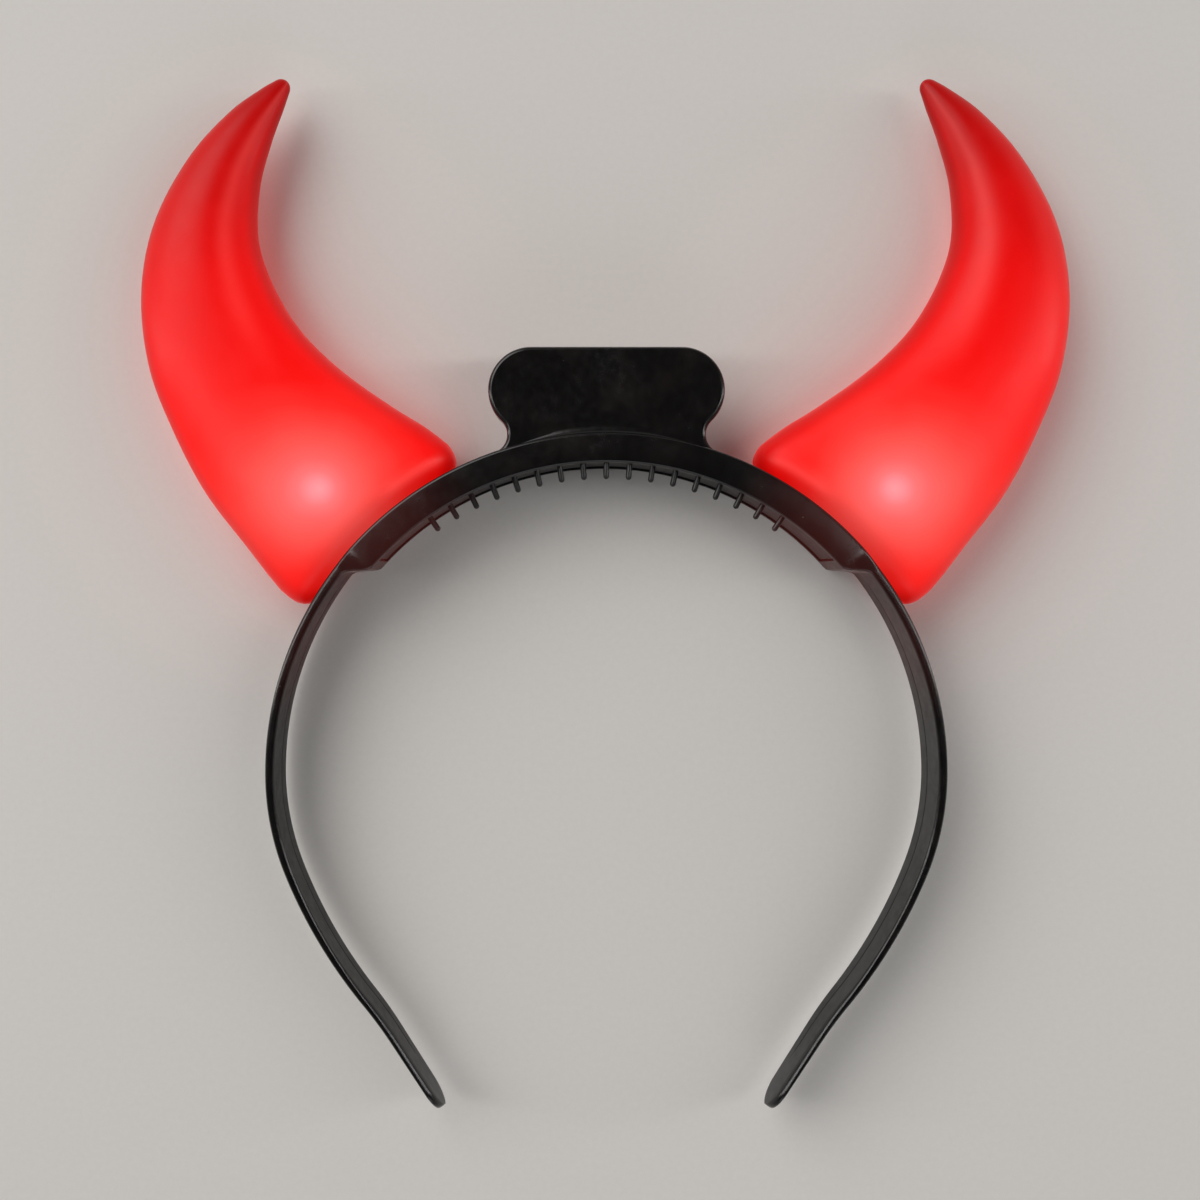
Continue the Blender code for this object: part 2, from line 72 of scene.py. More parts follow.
# Outer face of the band below the round arch: radius and turn of the curl, the slacker run
# and the flare, whose turn is outward
LOWER_ARCS = (
    (55.0 * MM, math.radians(22.0)),
    (103.0 * MM, math.radians(17.0)),
    (90.0 * MM, -math.radians(6.0)),
)
END_STRAIGHT = 17.5 * MM
LEG_END_ROUND = 4.8 * MM
STEP_ANGLE = math.radians(4.6)
HOUSING_WALL = 1.8 * MM
HOUSING_ROOF = 1.8 * MM

# Soft edges of the band, the faint crown of its front face and the groove in its legs
BAND_EDGE_ROUND = 0.6 * MM
FRONT_CROWN = 0.02
GROOVE_PLACE = 0.65
GROOVE_HALF_WIDTH = 0.45 * MM
GROOVE_DEPTH = 0.22 * MM
GROOVE_STEPS = 3
GROOVE_WIDEST_SHARE = 0.15
CROWN_POWER = 12
LARGEST_ROUND_SHARE = 0.45

# Groove: run below the housing in which it starts, and distances before the end in which it stops
GROOVE_START_RUN = 6.0 * MM
GROOVE_STOP = (16.0 * MM, 9.0 * MM)

# Opened front edge of the legs: distances before the end, share of the thickness and drop
OPEN_EDGE_RUN = (42.0 * MM, 6.0 * MM)
OPEN_EDGE_SHARE = 0.45
OPEN_EDGE_DROP = 1.1 * MM

# Plate on the crown
TAB_CORNER = 8.6 * MM
TAB_NECK_FILLET = 3.7 * MM
TAB_SETBACK = 1.4 * MM
TAB_EDGE_ROUND = 0.8 * MM
TAB_FOOT_RISE = 0.8 * MM
TAB_FOOT_REACH = 1.8 * MM
TAB_FOOT_SUNK = 1.0 * MM
TAB_FOOT_OVERLAP = 0.02 * MM
TAB_FOOT_LEAST = 0.06
TAB_FOOT_FULL = 0.35
LEAST_EDGE = 0.01 * MM

# Comb strip in the mouth of the housing
COMB_THICKNESS = 1.4 * MM
COMB_RECESS = 0.4 * MM
COMB_EDGE_ROUND = 0.3 * MM
COMB_END_MARGIN = math.radians(11.4)
PIN_SETBACK = 3.6 * MM
PIN_COLLAR = 0.3 * MM

# Horns
HORN_TAB_GAP = 6.3 * MM
HORN_WALL = 1.5 * MM
HORN_FACE_ROUND = 4.0 * MM
HORN_END_ROUND = 4.6 * MM
HORN_TIP_RADIUS = 2.4 * MM
HORN_TIP_TAPER = math.radians(25.0)
HORN_MOUTH_WIDTH = 26.0 * MM
HORN_MOUTH_DEPTH = 9.0 * MM
HORN_TIP_FILL = 15.6 * MM
HORN_SAG_SHARE = 0.11
LEAST_RADIUS = 0.2 * MM

# Columns: height above the arch, sideways shift, lean in degrees, width, depth, squareness.
# Height and shift are shares of the horn's length, the others of its width and depth.
# A negative shift or lean is toward the crown. Squareness 2 is an oval, more is boxier.
HORN_SECTIONS = (
    (0.000, -0.002, 0.0, 0.980, 1.00, 3.6),
    (0.058, 0.000, 0.0, 0.978, 1.00, 3.6),
    (0.190, 0.012, 1.0, 0.897, 1.00, 3.1),
    (0.355, 0.018, -2.0, 0.815, 1.00, 2.6),
    (0.508, -0.004, -11.0, 0.725, 1.00, 2.3),
    (0.635, -0.043, -22.0, 0.660, 0.98, 2.2),
    (0.761, -0.117, -37.0, 0.570, 0.93, 2.1),
    (0.863, -0.218, -53.0, 0.460, 0.83, 2.0),
    (0.939, -0.355, -67.0, 0.335, 0.66, 2.0),
    (0.977, -0.482, -79.0, 0.226, 0.47, 2.0),
    (0.992, -0.571, -82.0, 0.135, 0.29, 2.0),
    (0.998, -0.617, -83.0, 0.078, 0.17, 2.0),
)

# Lamps inside the horns
LAMP_BODY_LENGTH = 5.2 * MM
LAMP_FLANGE = 0.4 * MM
LAMP_FLANGE_HEIGHT = 1.0 * MM
LAMP_POST_DIAMETER = 4.6 * MM
LAMP_POST_LENGTH = 7.0 * MM
LAMP_TURN = math.radians(1.5)
LAMP_EDGE_ROUND = 0.15 * MM
LAMP_GLOW_START = 0.3

# Glow of a horn by distance from its lamp in millimetres, hottest first
GLOW_STOPS = (
    (0.0, "FFA4AA"),
    (1.6, "FF969C"),
    (3.5, "FF7C7D"),
    (6.0, "FF6764"),
    (9.0, "FF5751"),
    (13.0, "FF3F39"),
    (17.0, "FF2722"),
    (22.0, "FA100C"),
    (30.0, "F40605"),
    (44.0, "E60505"),
    (54.0, "D20505"),
    (63.0, "C20505"),
    (71.0, "B20505"),
    (82.0, "980505"),
)
GLOW_REACH = GLOW_STOPS[-1][0]

# The glow is shorter toward the outer side of the foot, by up to a share
GLOW_CORE = 2.0 * MM
GLOW_OUTER_SHARE = 0.24

# Painted highlights of a horn, laid in runs. Middle and half width are shares of the horn's half
# width, with -1 toward the crown and 1 away from it, and for the foot's run millimetres of height.
# The others are shares along the horn, and for the foot's run across it toward the crown, between
# which the run comes in or goes out. The last is the length of those shares in horn lengths.
OUTER_RUN = (0.56, 0.22)
OUTER_RUN_IN = (0.15, 0.5)
OUTER_RUN_OUT = (0.6, 1.05)
OUTER_RUN_LIGHT = 0.8
OUTER_RUN_LOSS = 0.7
INNER_RUN = (-0.49, 0.15)
INNER_RUN_IN = (0.36, 0.6)
INNER_RUN_LIGHT = 1.3
FOOT_RUN_MM = (2.8, 0.9)
FOOT_RUN_IN = (0.15, 0.45)
FOOT_RUN_OUT = (0.80, 0.98)
FOOT_RUN_LIGHT = 2.2
RUN_LENGTH_SHARE = 1.17

# Painted shade toward the sides, the edge of the foot and the closing poles of a horn
SIDE_DIMMING = 0.36
SIDE_DIM_RUN = (0.80, 1.0)
FOOT_SHADE = 0.72
FOOT_SHADE_MM = (1.0, 5.0)
POLE_SHADE = 0.7

# Materials: index of refraction, glow and gloss
ABS_IOR = 1.54
POLYSTYRENE_IOR = 1.59
EPOXY_IOR = 1.55
PAPER_IOR = 1.45
PAPER_ROUGHNESS = 0.85
HORN_GLOW = 0.92
HORN_SPECULAR = 0.15
LAMP_GLOW = 2.5

# Settings that several shader nodes share
SMOOTH = {"interpolation_type": "SMOOTHSTEP"}
COLOUR_MIX = {"data_type": "RGBA"}

# Fineness of the meshes
BAND_STEP = 0.7 * MM
CORNER_STEPS = 6
FACE_STEPS = 6
ARC_STEPS = 20
TAB_EDGE_STEPS = 6
ARCH_STEPS = 180
PIN_SIDES = 24
HORN_SIDES = 112
HORN_STEPS = 190
FOOT_STEPS = 12
DOME_STEPS = 8
LAMP_SIDES = 32

# Turn between two faces from which their edge is shaded sharp
BAND_SHARP = math.radians(40.0)
COMB_SHARP = math.radians(50.0)
HORN_SHARP = math.radians(60.0)
LAMP_SHARP = math.radians(40.0)

# Camera over the headband, at the angle of the front view
CAMERA_PLACE = (-0.0123, 0.0036, 0.318)
CAMERA_LENS = 45.0
CAMERA_SHIFT = (0.0458, -0.0208)
CAMERA_SENSOR_MM = 36.0
CAMERA_CLIP = (0.01, 20.0)

# Columns: name, place, width, length, watts, colour
LIGHTS = (
    ("key_softbox", (-0.42, 0.46, 0.62), 0.50, 0.50, 1.1, "FFF9F2"),
    ("left_strip", (-0.52, 0.04, 0.40), 0.07, 0.90, 1.1, "FFFDFB"),
    ("right_strip", (0.56, 0.06, 0.44), 0.07, 0.90, 1.3, "FFFDFB"),
    ("low_fill", (0.10, -0.70, 0.50), 0.60, 0.40, 0.7, "F6F9FF"),
)

# Even light of the whole room: direction, spread and strength
ROOM_LIGHT_PLACE = (-0.75, 0.75, 1.0)
ROOM_LIGHT_SPREAD = math.radians(50.0)
ROOM_LIGHT_STRENGTH = 0.95

# Studio room: colours of walls and ceiling, the upness between which they blend, strength,
# and half the floor's width
ROOM_WALLS = "C9C8C6"
ROOM_CEILING = "343332"
ROOM_BLEND = (0.05, 0.75)
ROOM_STRENGTH = 0.7
FLOOR_HALF_SIZE = 4.0


def linear(code):
    """Linear red, green and blue of an sRGB hex code."""
    values = [int(code[place : place + 2], 16) / 255.0 for place in (0, 2, 4)]
    return tuple(v / 12.92 if v <= 0.04045 else ((v + 0.055) / 1.055) ** 2.4 for v in values)


def length_property(name, description, default, least):
    """Length setting in metres."""
    return FloatProperty(
        name=name, description=description, default=default, min=least, unit="LENGTH"
    )


def angle_property(name, description, degrees):
    """Angle setting, its default given in degrees."""
    return FloatProperty(
        name=name, description=description, default=math.radians(degrees), subtype="ANGLE"
    )


def colour_property(name, description, code):
    """Colour setting, its default given as an sRGB hex code."""
    return FloatVectorProperty(
        name=name, description=description, default=linear(code), min=0.0, max=1.0, subtype="COLOR"
    )


class HeadbandSizes(bpy.types.PropertyGroup):
    """Sizes of the headband that may be changed before its pieces are built."""

    arch_radius: length_property(
        "Arch Radius", "Radius of the band's outer face over the crown", 0.0685, 0.05
    )
    housing_half_angle: angle_property(
        "Housing Half Angle", "Angle from the crown to one end of the thick housing", 48.3
    )
    housing_thickness: length_property(
        "Housing Thickness", "Thickness of the housing, from its roof to its rim", 0.0059, 0.003
    )
    housing_depth: length_property(
        "Housing Depth", "Depth of the housing, from its back to its front", 0.020, 0.008
    )
    leg_thickness: length_property(
        "Leg Thickness", "Thickness of a leg just below the housing", 0.0020, 0.0008
    )
    leg_end_thickness: length_property(
        "Leg End Thickness", "Thickness of a leg at its end", 0.0015, 0.0005
    )
    leg_depth: length_property("Leg Depth", "Depth of a leg just below the housing", 0.018, 0.004)
    leg_end_depth: length_property(
        "Leg End Depth", "Depth of a leg where its rounded end starts", 0.0095, 0.004
    )
    tab_width: length_property("Plate Width", "Width of the plate on the crown", 0.0474, 0.03)
    tab_neck_width: length_property(
        "Plate Neck Width", "Width of the plate where it leaves the arch", 0.0398, 0.02
    )
    tab_height: length_property(
        "Plate Height", "Height of the plate's top edge above the arch", 0.0173, 0.01
    )
    tab_thickness: length_property("Plate Thickness", "Thickness of the plate", 0.005, 0.002)
    pin_pitch: angle_property("Pin Pitch", "Angle between two comb pins", 4.3)
    pin_diameter: length_property("Pin Diameter", "Diameter of a comb pin", 0.00115, 0.0005)
    pin_length: length_property(
        "Pin Length", "Length of a comb pin from the strip to its domed end", 0.0036, 0.001
    )
    horn_length: length_property(
        "Horn Length", "Height of a horn's tip above the arch", 0.0788, 0.03
    )
    horn_width: length_property(
        "Horn Width", "Width of a horn at its foot, by the table of sections", 0.046, 0.02
    )
    horn_depth: length_property(
        "Horn Depth", "Depth of a horn at its foot, by the table of sections", 0.0199, 0.008
    )
    lamp_diameter: length_property("Lamp Diameter", "Diameter of a lamp's domed body", 0.005, 0.002)


class HeadbandColours(bpy.types.PropertyGroup):
    """Colours of the headband's plastics and of the floor."""

    band: colour_property("Band", "Black of the moulded band", "0B0909")
    band_smoke: colour_property("Band Smoke", "Lighter clouds in the band's black", "1A1615")
    comb: colour_property("Comb", "Black of the comb strip", "0E0C0C")
    dust: colour_property("Dust", "Specks of dust on the black plastic", "5A524E")
    # Painted glow: red given off by the band near the horns' feet
    painted_glow: colour_property(
        "Painted Glow", "Red of the lamps that shows through the band under the horns", "34100D"
    )
    horn: colour_property("Horn", "Red of the horns' plastic in plain light", "6E0606")
    # Painted highlight colour, added in the horns' lengthwise runs and over the foot's edge
    horn_painted_highlight: colour_property(
        "Horn Painted Highlight", "Light that the thinner lengthwise runs of a horn let through", "4C2422"
    )
    lamp: colour_property("Lamp", "Glow of a lamp", "FFB4BA")
    floor: colour_property("Floor", "Pale paper floor", "E6E3DF")


def sizes():
    """Sizes that the pieces are built to."""
    return bpy.context.scene.headband_sizes


def colours():
    """Colours that the pieces are given."""
    return bpy.context.scene.headband_colours


def mix(first, second, share):
    """Value a share of the way from first to second."""
    return first + (second - first) * share


def smooth_share(value):
    """Share from 0 to 1 that starts and ends level."""
    value = min(max(value, 0.0), 1.0)
    return value * value * (3.0 - 2.0 * value)


def ease(value, start, end):
    """Smooth share of the way that a value has gone from start to end."""
    return smooth_share((value - start) / (end - start))


def heading(angle):
    """Direction at an angle from the crown, positive toward +X."""
    return Vector((math.sin(angle), math.cos(angle), 0.0))


@functools.cache
def arch_centre():
    """Centre of the round arch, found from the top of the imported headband."""
    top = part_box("headband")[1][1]
    return Vector((0.0, top - sizes().arch_radius - sizes().tab_height, 0.0))


def on_arch(radius, angle, height):
    """Point at a radius and an angle about the arch's centre, at a height over the floor."""
    return arch_centre() + heading(angle) * radius + Vector((0.0, 0.0, height))


def add_skin(shape, rings, closed_ends=True):
    """Add to a shape a skin that runs through rings of equal count; returns its loops."""
    loops = [[shape.verts.new(point) for point in ring] for ring in rings]
    count = len(rings[0])
    for lower, upper in zip(loops[:-1], loops[1:]):
        for side in range(count):
            following = (side + 1) % count
            shape.faces.new((lower[side], lower[following], upper[following], upper[side]))
    if closed_ends:
        for loop in (loops[0], loops[-1]):
            centre = sum((vertex.co for vertex in loop), Vector()) / count
            pole = shape.verts.new(centre)
            for side in range(count):
                shape.faces.new((loop[side], loop[(side + 1) % count], pole))
    return loops


def finish_shape(name, shape, material):
    """Object made of a shape, facing out and shaded smooth."""
    bmesh.ops.recalc_face_normals(shape, faces=shape.faces)
    mesh = bpy.data.meshes.new(name)
    shape.to_mesh(mesh)
    shape.free()
    mesh.materials.append(material)
    mesh.shade_smooth()
    piece = bpy.data.objects.new(name, mesh)
    bpy.context.scene.collection.objects.link(piece)
    return piece


def make_skin(name, rings, material):
    """Object whose skin runs through rings and is closed at both ends."""
    shape = bmesh.new()
    add_skin(shape, rings)
    return finish_shape(name, shape, material)


def combine(piece, tools, operation):
    """Join or cut a piece with tool objects."""
    for tool in tools:
        modifier = piece.modifiers.new(operation.title(), "BOOLEAN")
        modifier.operation = operation
        modifier.solver = "EXACT"
        modifier.object = tool


def settle_mesh(piece, tools, sharp_angle):
    """Apply a piece's modifiers, keep its flat faces flat in the shading and drop its tools."""
    bpy.context.view_layer.update()
    graph = bpy.context.evaluated_depsgraph_get()
    mesh = bpy.data.meshes.new_from_object(piece.evaluated_get(graph), depsgraph=graph)
    piece.modifiers.clear()
    piece.data = mesh
    mesh.shade_smooth()
    mesh.set_sharp_from_angle(angle=sharp_angle)
    weights = piece.modifiers.new("Flat Faces", "WEIGHTED_NORMAL")
    weights.keep_sharp = True
    for tool in tools:
        bpy.data.objects.remove(tool, do_unlink=True)


def place_piece(piece, node):
    """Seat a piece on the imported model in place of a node."""
    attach(piece, BODY)
    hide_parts(node)


def add_node(tree, kind, settings=None, inputs=None):
    """Add a shader node with its settings, and a value or a link for each named input."""
    node = tree.nodes.new(kind)
    for name, value in (settings or {}).items():
        setattr(node, name, value)
    for name, value in (inputs or {}).items():
        if isinstance(value, bpy.types.NodeSocket):
            tree.links.new(value, node.inputs[name])
        else:
            node.inputs[name].default_value = value
    return node


def pattern_scale(size_mm):
    """Scale of a texture whose features are a number of millimetres across."""
    return 1.0 / (size_mm * MM)


def opaque(colour):
    """Colour with full alpha for a colour socket."""
    return (*colour, 1.0)


def new_material(name, ior):
    """Material that is no metal, with its tree, its shader and the place on the object."""
    material = bpy.data.materials.new(name)
    material.use_nodes = True
    tree = material.node_tree
    shader = tree.nodes["Principled BSDF"]
    shader.inputs["Metallic"].default_value = 0.0
    shader.inputs["IOR"].default_value = ior
    return material, tree, shader, add_node(tree, "ShaderNodeTexCoord").outputs["Object"]


def black_plastic(name, base, smoke, grain_mm, roughness):
    """Black ABS, injection moulded in a polished tool that has seen some use.

    The eye gets a deep black with soft smoky clouds, a slow gloss that dulls where it was
    rubbed, a faint orange peel and here and there a speck of dust. A painted red glow is
    added near the horns' feet.
    """
    material, tree, shader, place = new_material(name, ABS_IOR)

    # Clouds about 9 mm across, from the flow of the melt
    clouds = add_node(
        tree, "ShaderNodeTexNoise",
        inputs={"Vector": place, "Scale": pattern_scale(9.0), "Detail": 4.0, "Roughness": 0.6},
    )
    cloud_share = add_node(
        tree, "ShaderNodeMapRange", SMOOTH,
        {"Value": clouds.outputs["Fac"], "From Min": 0.45, "From Max": 0.75},
    )
    black = add_node(
        tree, "ShaderNodeMix", COLOUR_MIX,
        {"Factor": cloud_share.outputs["Result"], "A": opaque(base), "B": opaque(smoke)},
    )

    # Specks up to 0.4 mm across, in some of the cells of 2.6 mm
    cells = add_node(
        tree, "ShaderNodeTexVoronoi", inputs={"Vector": place, "Scale": pattern_scale(2.6)},
    )
    speck_size = add_node(
        tree, "ShaderNodeMapRange",
        inputs={
            "Value": cells.outputs["Color"], "From Min": 0.55, "From Max": 0.95, "To Max": 0.085,
        },
    )
    speck = add_node(
        tree, "ShaderNodeMath", {"operation": "LESS_THAN"},
        {0: cells.outputs["Distance"], 1: speck_size.outputs["Result"]},
    )
    dusted = add_node(
        tree, "ShaderNodeMix", COLOUR_MIX,
        {
            "Factor": speck.outputs["Value"], "A": black.outputs["Result"],
            "B": opaque(colours().dust),
        },
    )
    tree.links.new(dusted.outputs["Result"], shader.inputs["Base Color"])

    # Rubbed patches 14 mm across and small scuffs 1.6 mm across dull the gloss
    rubbed = add_node(
        tree, "ShaderNodeTexNoise",
        inputs={"Vector": place, "Scale": pattern_scale(14.0), "Detail": 5.0, "Roughness": 0.65},
    )
    drawn_out = add_node(
        tree, "ShaderNodeVectorMath", {"operation": "MULTIPLY"}, {0: place, 1: (1.0, 0.8, 0.6)},
    )
    scuffs = add_node(
        tree, "ShaderNodeTexNoise",
        inputs={"Vector": drawn_out.outputs["Vector"], "Scale": pattern_scale(1.6), "Detail": 3.0},
    )
    dulling = add_node(
        tree, "ShaderNodeMath", {"operation": "MULTIPLY"},
        {0: rubbed.outputs["Fac"], 1: scuffs.outputs["Fac"]},
    )
    gloss = add_node(
        tree, "ShaderNodeMapRange",
        inputs={
            "Value": dulling.outputs["Value"], "From Min": 0.12, "From Max": 0.42,
            "To Min": roughness - 0.04, "To Max": roughness + 0.08,
        },
    )
    # Faces toward the head were left as the tool's rougher core made them
    outward = add_node(
        tree, "ShaderNodeVectorMath", {"operation": "SUBTRACT"}, {0: place, 1: arch_centre()},
    )
    flat_outward = add_node(
        tree, "ShaderNodeVectorMath", {"operation": "MULTIPLY"},
        {0: outward.outputs["Vector"], 1: (1.0, 1.0, 0.0)},
    )
    unit_outward = add_node(
        tree, "ShaderNodeVectorMath", {"operation": "NORMALIZE"},
        {0: flat_outward.outputs["Vector"]},
    )
    facing = add_node(
        tree, "ShaderNodeVectorMath", {"operation": "DOT_PRODUCT"},
        {
            0: unit_outward.outputs["Vector"],
            1: add_node(tree, "ShaderNodeNewGeometry").outputs["Normal"],
        },
    )
    core_side = add_node(
        tree, "ShaderNodeMapRange",
        inputs={
            "Value": facing.outputs["Value"], "From Min": -0.75, "From Max": -0.95, "To Max": 0.26,
        },
    )
    finish = add_node(
        tree, "ShaderNodeMath", {"operation": "ADD"},
        {0: gloss.outputs["Result"], 1: core_side.outputs["Result"]},
    )
    tree.links.new(finish.outputs["Value"], shader.inputs["Roughness"])

    # Painted glow: a faint red emission near the horns' feet stands in for the horns' red light on
    # the black plastic
    mirrored = add_node(tree, "ShaderNodeVectorMath", {"operation": "ABSOLUTE"}, {0: place})
    painted_glow_distance = add_node(
        tree, "ShaderNodeVectorMath", {"operation": "DISTANCE"},
        {0: mirrored.outputs["Vector"], 1: painted_glow_centre()},
    )
    painted_glow = add_node(
        tree, "ShaderNodeMapRange", SMOOTH,
        {"Value": painted_glow_distance.outputs["Value"], "From Min": 26.0 * MM, "From Max": 6.0 * MM},
    )
    painted_glow_colour = add_node(
        tree, "ShaderNodeVectorMath", {"operation": "SCALE"},
        {0: colours().painted_glow, "Scale": painted_glow.outputs["Result"]},
    )
    tree.links.new(painted_glow_colour.outputs["Vector"], shader.inputs["Emission Color"])
    shader.inputs["Emission Strength"].default_value = 1.0

    # Orange peel of a real 0.2 mm is too fine to show, so it is drawn at the given grain
    peel = add_node(
        tree, "ShaderNodeTexNoise",
        inputs={"Vector": place, "Scale": pattern_scale(grain_mm), "Detail": 3.0},
    )
    bump = add_node(
        tree, "ShaderNodeBump",
        inputs={"Height": peel.outputs["Fac"], "Strength": 0.12, "Distance": 0.06 * MM},
    )
    tree.links.new(bump.outputs["Normal"], shader.inputs["Normal"])
    return material


def painted_glow_centre():
    """Middle of the roof under the right horn, where its lamp stands and the painted red glow is
    centred.
    """
    return on_arch(sizes().arch_radius, horn_angle(), sizes().housing_depth / 2.0)


def horn_plastic():
    """Red polystyrene, moulded as a thin hollow shell with a satin skin and lit from inside.

    The eye gets a milky red that is pink and hottest over the lamp and fades to a deep red at
    the tip. Painted shade dims the sides and the foot's edge, and painted highlights brighten
    two lengthwise runs and a run over the foot's edge.
    """
    material, tree, shader, place = new_material("polystyrene_red_translucent", POLYSTYRENE_IOR)
    shader.inputs["Emission Strength"].default_value = HORN_GLOW
    shader.inputs["Specular IOR Level"].default_value = HORN_SPECULAR
    distance = add_node(tree, "ShaderNodeAttribute", {"attribute_name": "lamp_distance"})
    highlight_paint = add_node(tree, "ShaderNodeAttribute", {"attribute_name": "highlight_paint"})
    shade = add_node(tree, "ShaderNodeAttribute", {"attribute_name": "painted_edge_shade"})

    # Milky clouds 11 mm across move the glow a little nearer or farther
    clouds = add_node(
        tree, "ShaderNodeTexNoise",
        inputs={"Vector": place, "Scale": pattern_scale(11.0), "Detail": 3.0, "Roughness": 0.5},
    )
    waver = add_node(
        tree, "ShaderNodeMapRange",
        inputs={
            "Value": clouds.outputs["Fac"], "From Min": 0.3, "From Max": 0.7, "To Min": 0.96,
            "To Max": 1.04,
        },
    )
    reach = add_node(
        tree, "ShaderNodeMath", {"operation": "MULTIPLY"},
        {0: distance.outputs["Fac"], 1: waver.outputs["Result"]},
    )
    share = add_node(
        tree, "ShaderNodeMath", {"operation": "DIVIDE"}, {0: reach.outputs["Value"], 1: GLOW_REACH},
    )
    glow = add_node(tree, "ShaderNodeValToRGB", inputs={"Fac": share.outputs["Value"]})
    ramp = glow.color_ramp
    ramp.interpolation = "LINEAR"
    while len(ramp.elements) < len(GLOW_STOPS):
        ramp.elements.new(1.0)
    for element, (stop, code) in zip(ramp.elements, GLOW_STOPS):
        element.position = stop / GLOW_REACH
        element.color = opaque(linear(code))

    # Painted highlights: the glow is brightened in two lengthwise runs and over the foot's edge
    painted_highlights = add_node(
        tree, "ShaderNodeVectorMath", {"operation": "SCALE"},
        {0: colours().horn_painted_highlight, "Scale": highlight_paint.outputs["Fac"]},
    )
    brightened = add_node(
        tree, "ShaderNodeVectorMath", {"operation": "ADD"},
        {0: glow.outputs["Color"], 1: painted_highlights.outputs["Vector"]},
    )
    # Painted shade dims the glow toward the sides, the foot's edge and the poles
    shaded = add_node(
        tree, "ShaderNodeVectorMath", {"operation": "SCALE"},
        {0: brightened.outputs["Vector"], "Scale": shade.outputs["Fac"]},
    )
    tree.links.new(shaded.outputs["Vector"], shader.inputs["Emission Color"])

    # Pigment that is a little uneven in patches 4 mm across
    pigment = add_node(
        tree, "ShaderNodeTexNoise",
        inputs={"Vector": place, "Scale": pattern_scale(4.0), "Detail": 4.0},
    )
    red = add_node(
        tree, "ShaderNodeMix", COLOUR_MIX,
        {
            "Factor": pigment.outputs["Fac"],
            "A": opaque([0.86 * value for value in colours().horn]),
            "B": opaque([min(1.14 * value, 1.0) for value in colours().horn]),
        },
    )
    tree.links.new(red.outputs["Result"], shader.inputs["Base Color"])
    gloss = add_node(
        tree, "ShaderNodeMapRange",
        inputs={
            "Value": pigment.outputs["Fac"], "From Min": 0.3, "From Max": 0.7, "To Min": 0.33,
            "To Max": 0.41,
        },
    )
    tree.links.new(gloss.outputs["Result"], shader.inputs["Roughness"])

    # Satin skin of a real 0.1 mm is too fine to show, so it is drawn at 0.5 mm
    satin = add_node(
        tree, "ShaderNodeTexNoise",
        inputs={"Vector": place, "Scale": pattern_scale(0.5), "Detail": 2.0},
    )
    bump = add_node(
        tree, "ShaderNodeBump",
        inputs={"Height": satin.outputs["Fac"], "Strength": 0.08, "Distance": 0.05 * MM},
    )
    tree.links.new(bump.outputs["Normal"], shader.inputs["Normal"])
    return material


def lamp_plastic():
    """Clear epoxy, cast round the lamp's chip with a glossy dome.

    The eye gets a hot pink-white bead that is dimmer at its flange and post.
    """
    material, tree, shader, place = new_material("epoxy_clear_cast", EPOXY_IOR)
    shader.inputs["Emission Strength"].default_value = LAMP_GLOW
    rise = add_node(tree, "ShaderNodeAttribute", {"attribute_name": "rise"})

    # Swirls of the casting, about 1.5 mm across
    swirls = add_node(
        tree, "ShaderNodeTexNoise",
        inputs={"Vector": place, "Scale": pattern_scale(1.5), "Detail": 3.0},
    )
    lit = add_node(
        tree, "ShaderNodeMath", {"operation": "MULTIPLY"},
        {0: rise.outputs["Fac"], 1: swirls.outputs["Fac"]},
    )
    glow = add_node(
        tree, "ShaderNodeMix", COLOUR_MIX,
        {
            "Factor": lit.outputs["Value"], "A": opaque([0.12 * value for value in colours().lamp]),
            "B": opaque(colours().lamp),
        },
    )
    tree.links.new(glow.outputs["Result"], shader.inputs["Emission Color"])
    tree.links.new(glow.outputs["Result"], shader.inputs["Base Color"])
    gloss = add_node(
        tree, "ShaderNodeMapRange",
        inputs={"Value": swirls.outputs["Fac"], "To Min": 0.08, "To Max": 0.2},
    )
    tree.links.new(gloss.outputs["Result"], shader.inputs["Roughness"])
    return material


def floor_paper():
    """Pale paper board, pressed and uncoated.

    The eye gets an even matte floor with a barely visible tooth.
    """
    material, tree, shader, place = new_material("paper_board_pressed", PAPER_IOR)
    shader.inputs["Roughness"].default_value = PAPER_ROUGHNESS

    # Fibres of a real 0.05 mm are too fine to show, so the tooth is drawn at 1.2 mm
    tooth = add_node(
        tree, "ShaderNodeTexNoise",
        inputs={"Vector": place, "Scale": pattern_scale(1.2), "Detail": 4.0},
    )
    paper = add_node(
        tree, "ShaderNodeMix", COLOUR_MIX,
        {
            "Factor": tooth.outputs["Fac"],
            "A": opaque([0.97 * value for value in colours().floor]),
            "B": opaque([min(1.03 * value, 1.0) for value in colours().floor]),
        },
    )
    tree.links.new(paper.outputs["Result"], shader.inputs["Base Color"])
    bump = add_node(
        tree, "ShaderNodeBump",
        inputs={"Height": tooth.outputs["Fac"], "Strength": 0.1, "Distance": 0.05 * MM},
    )
    tree.links.new(bump.outputs["Normal"], shader.inputs["Normal"])
    return material


def band_arcs():
    """Arcs of the band's outer face as (radius, turn); a flare's turn is negative."""
    return ((sizes().arch_radius, math.radians(90.0)), *LOWER_ARCS)


def band_length():
    """Length of the band's outer face from the crown to one end."""
    return sum(radius * abs(turn) for radius, turn in band_arcs()) + END_STRAIGHT


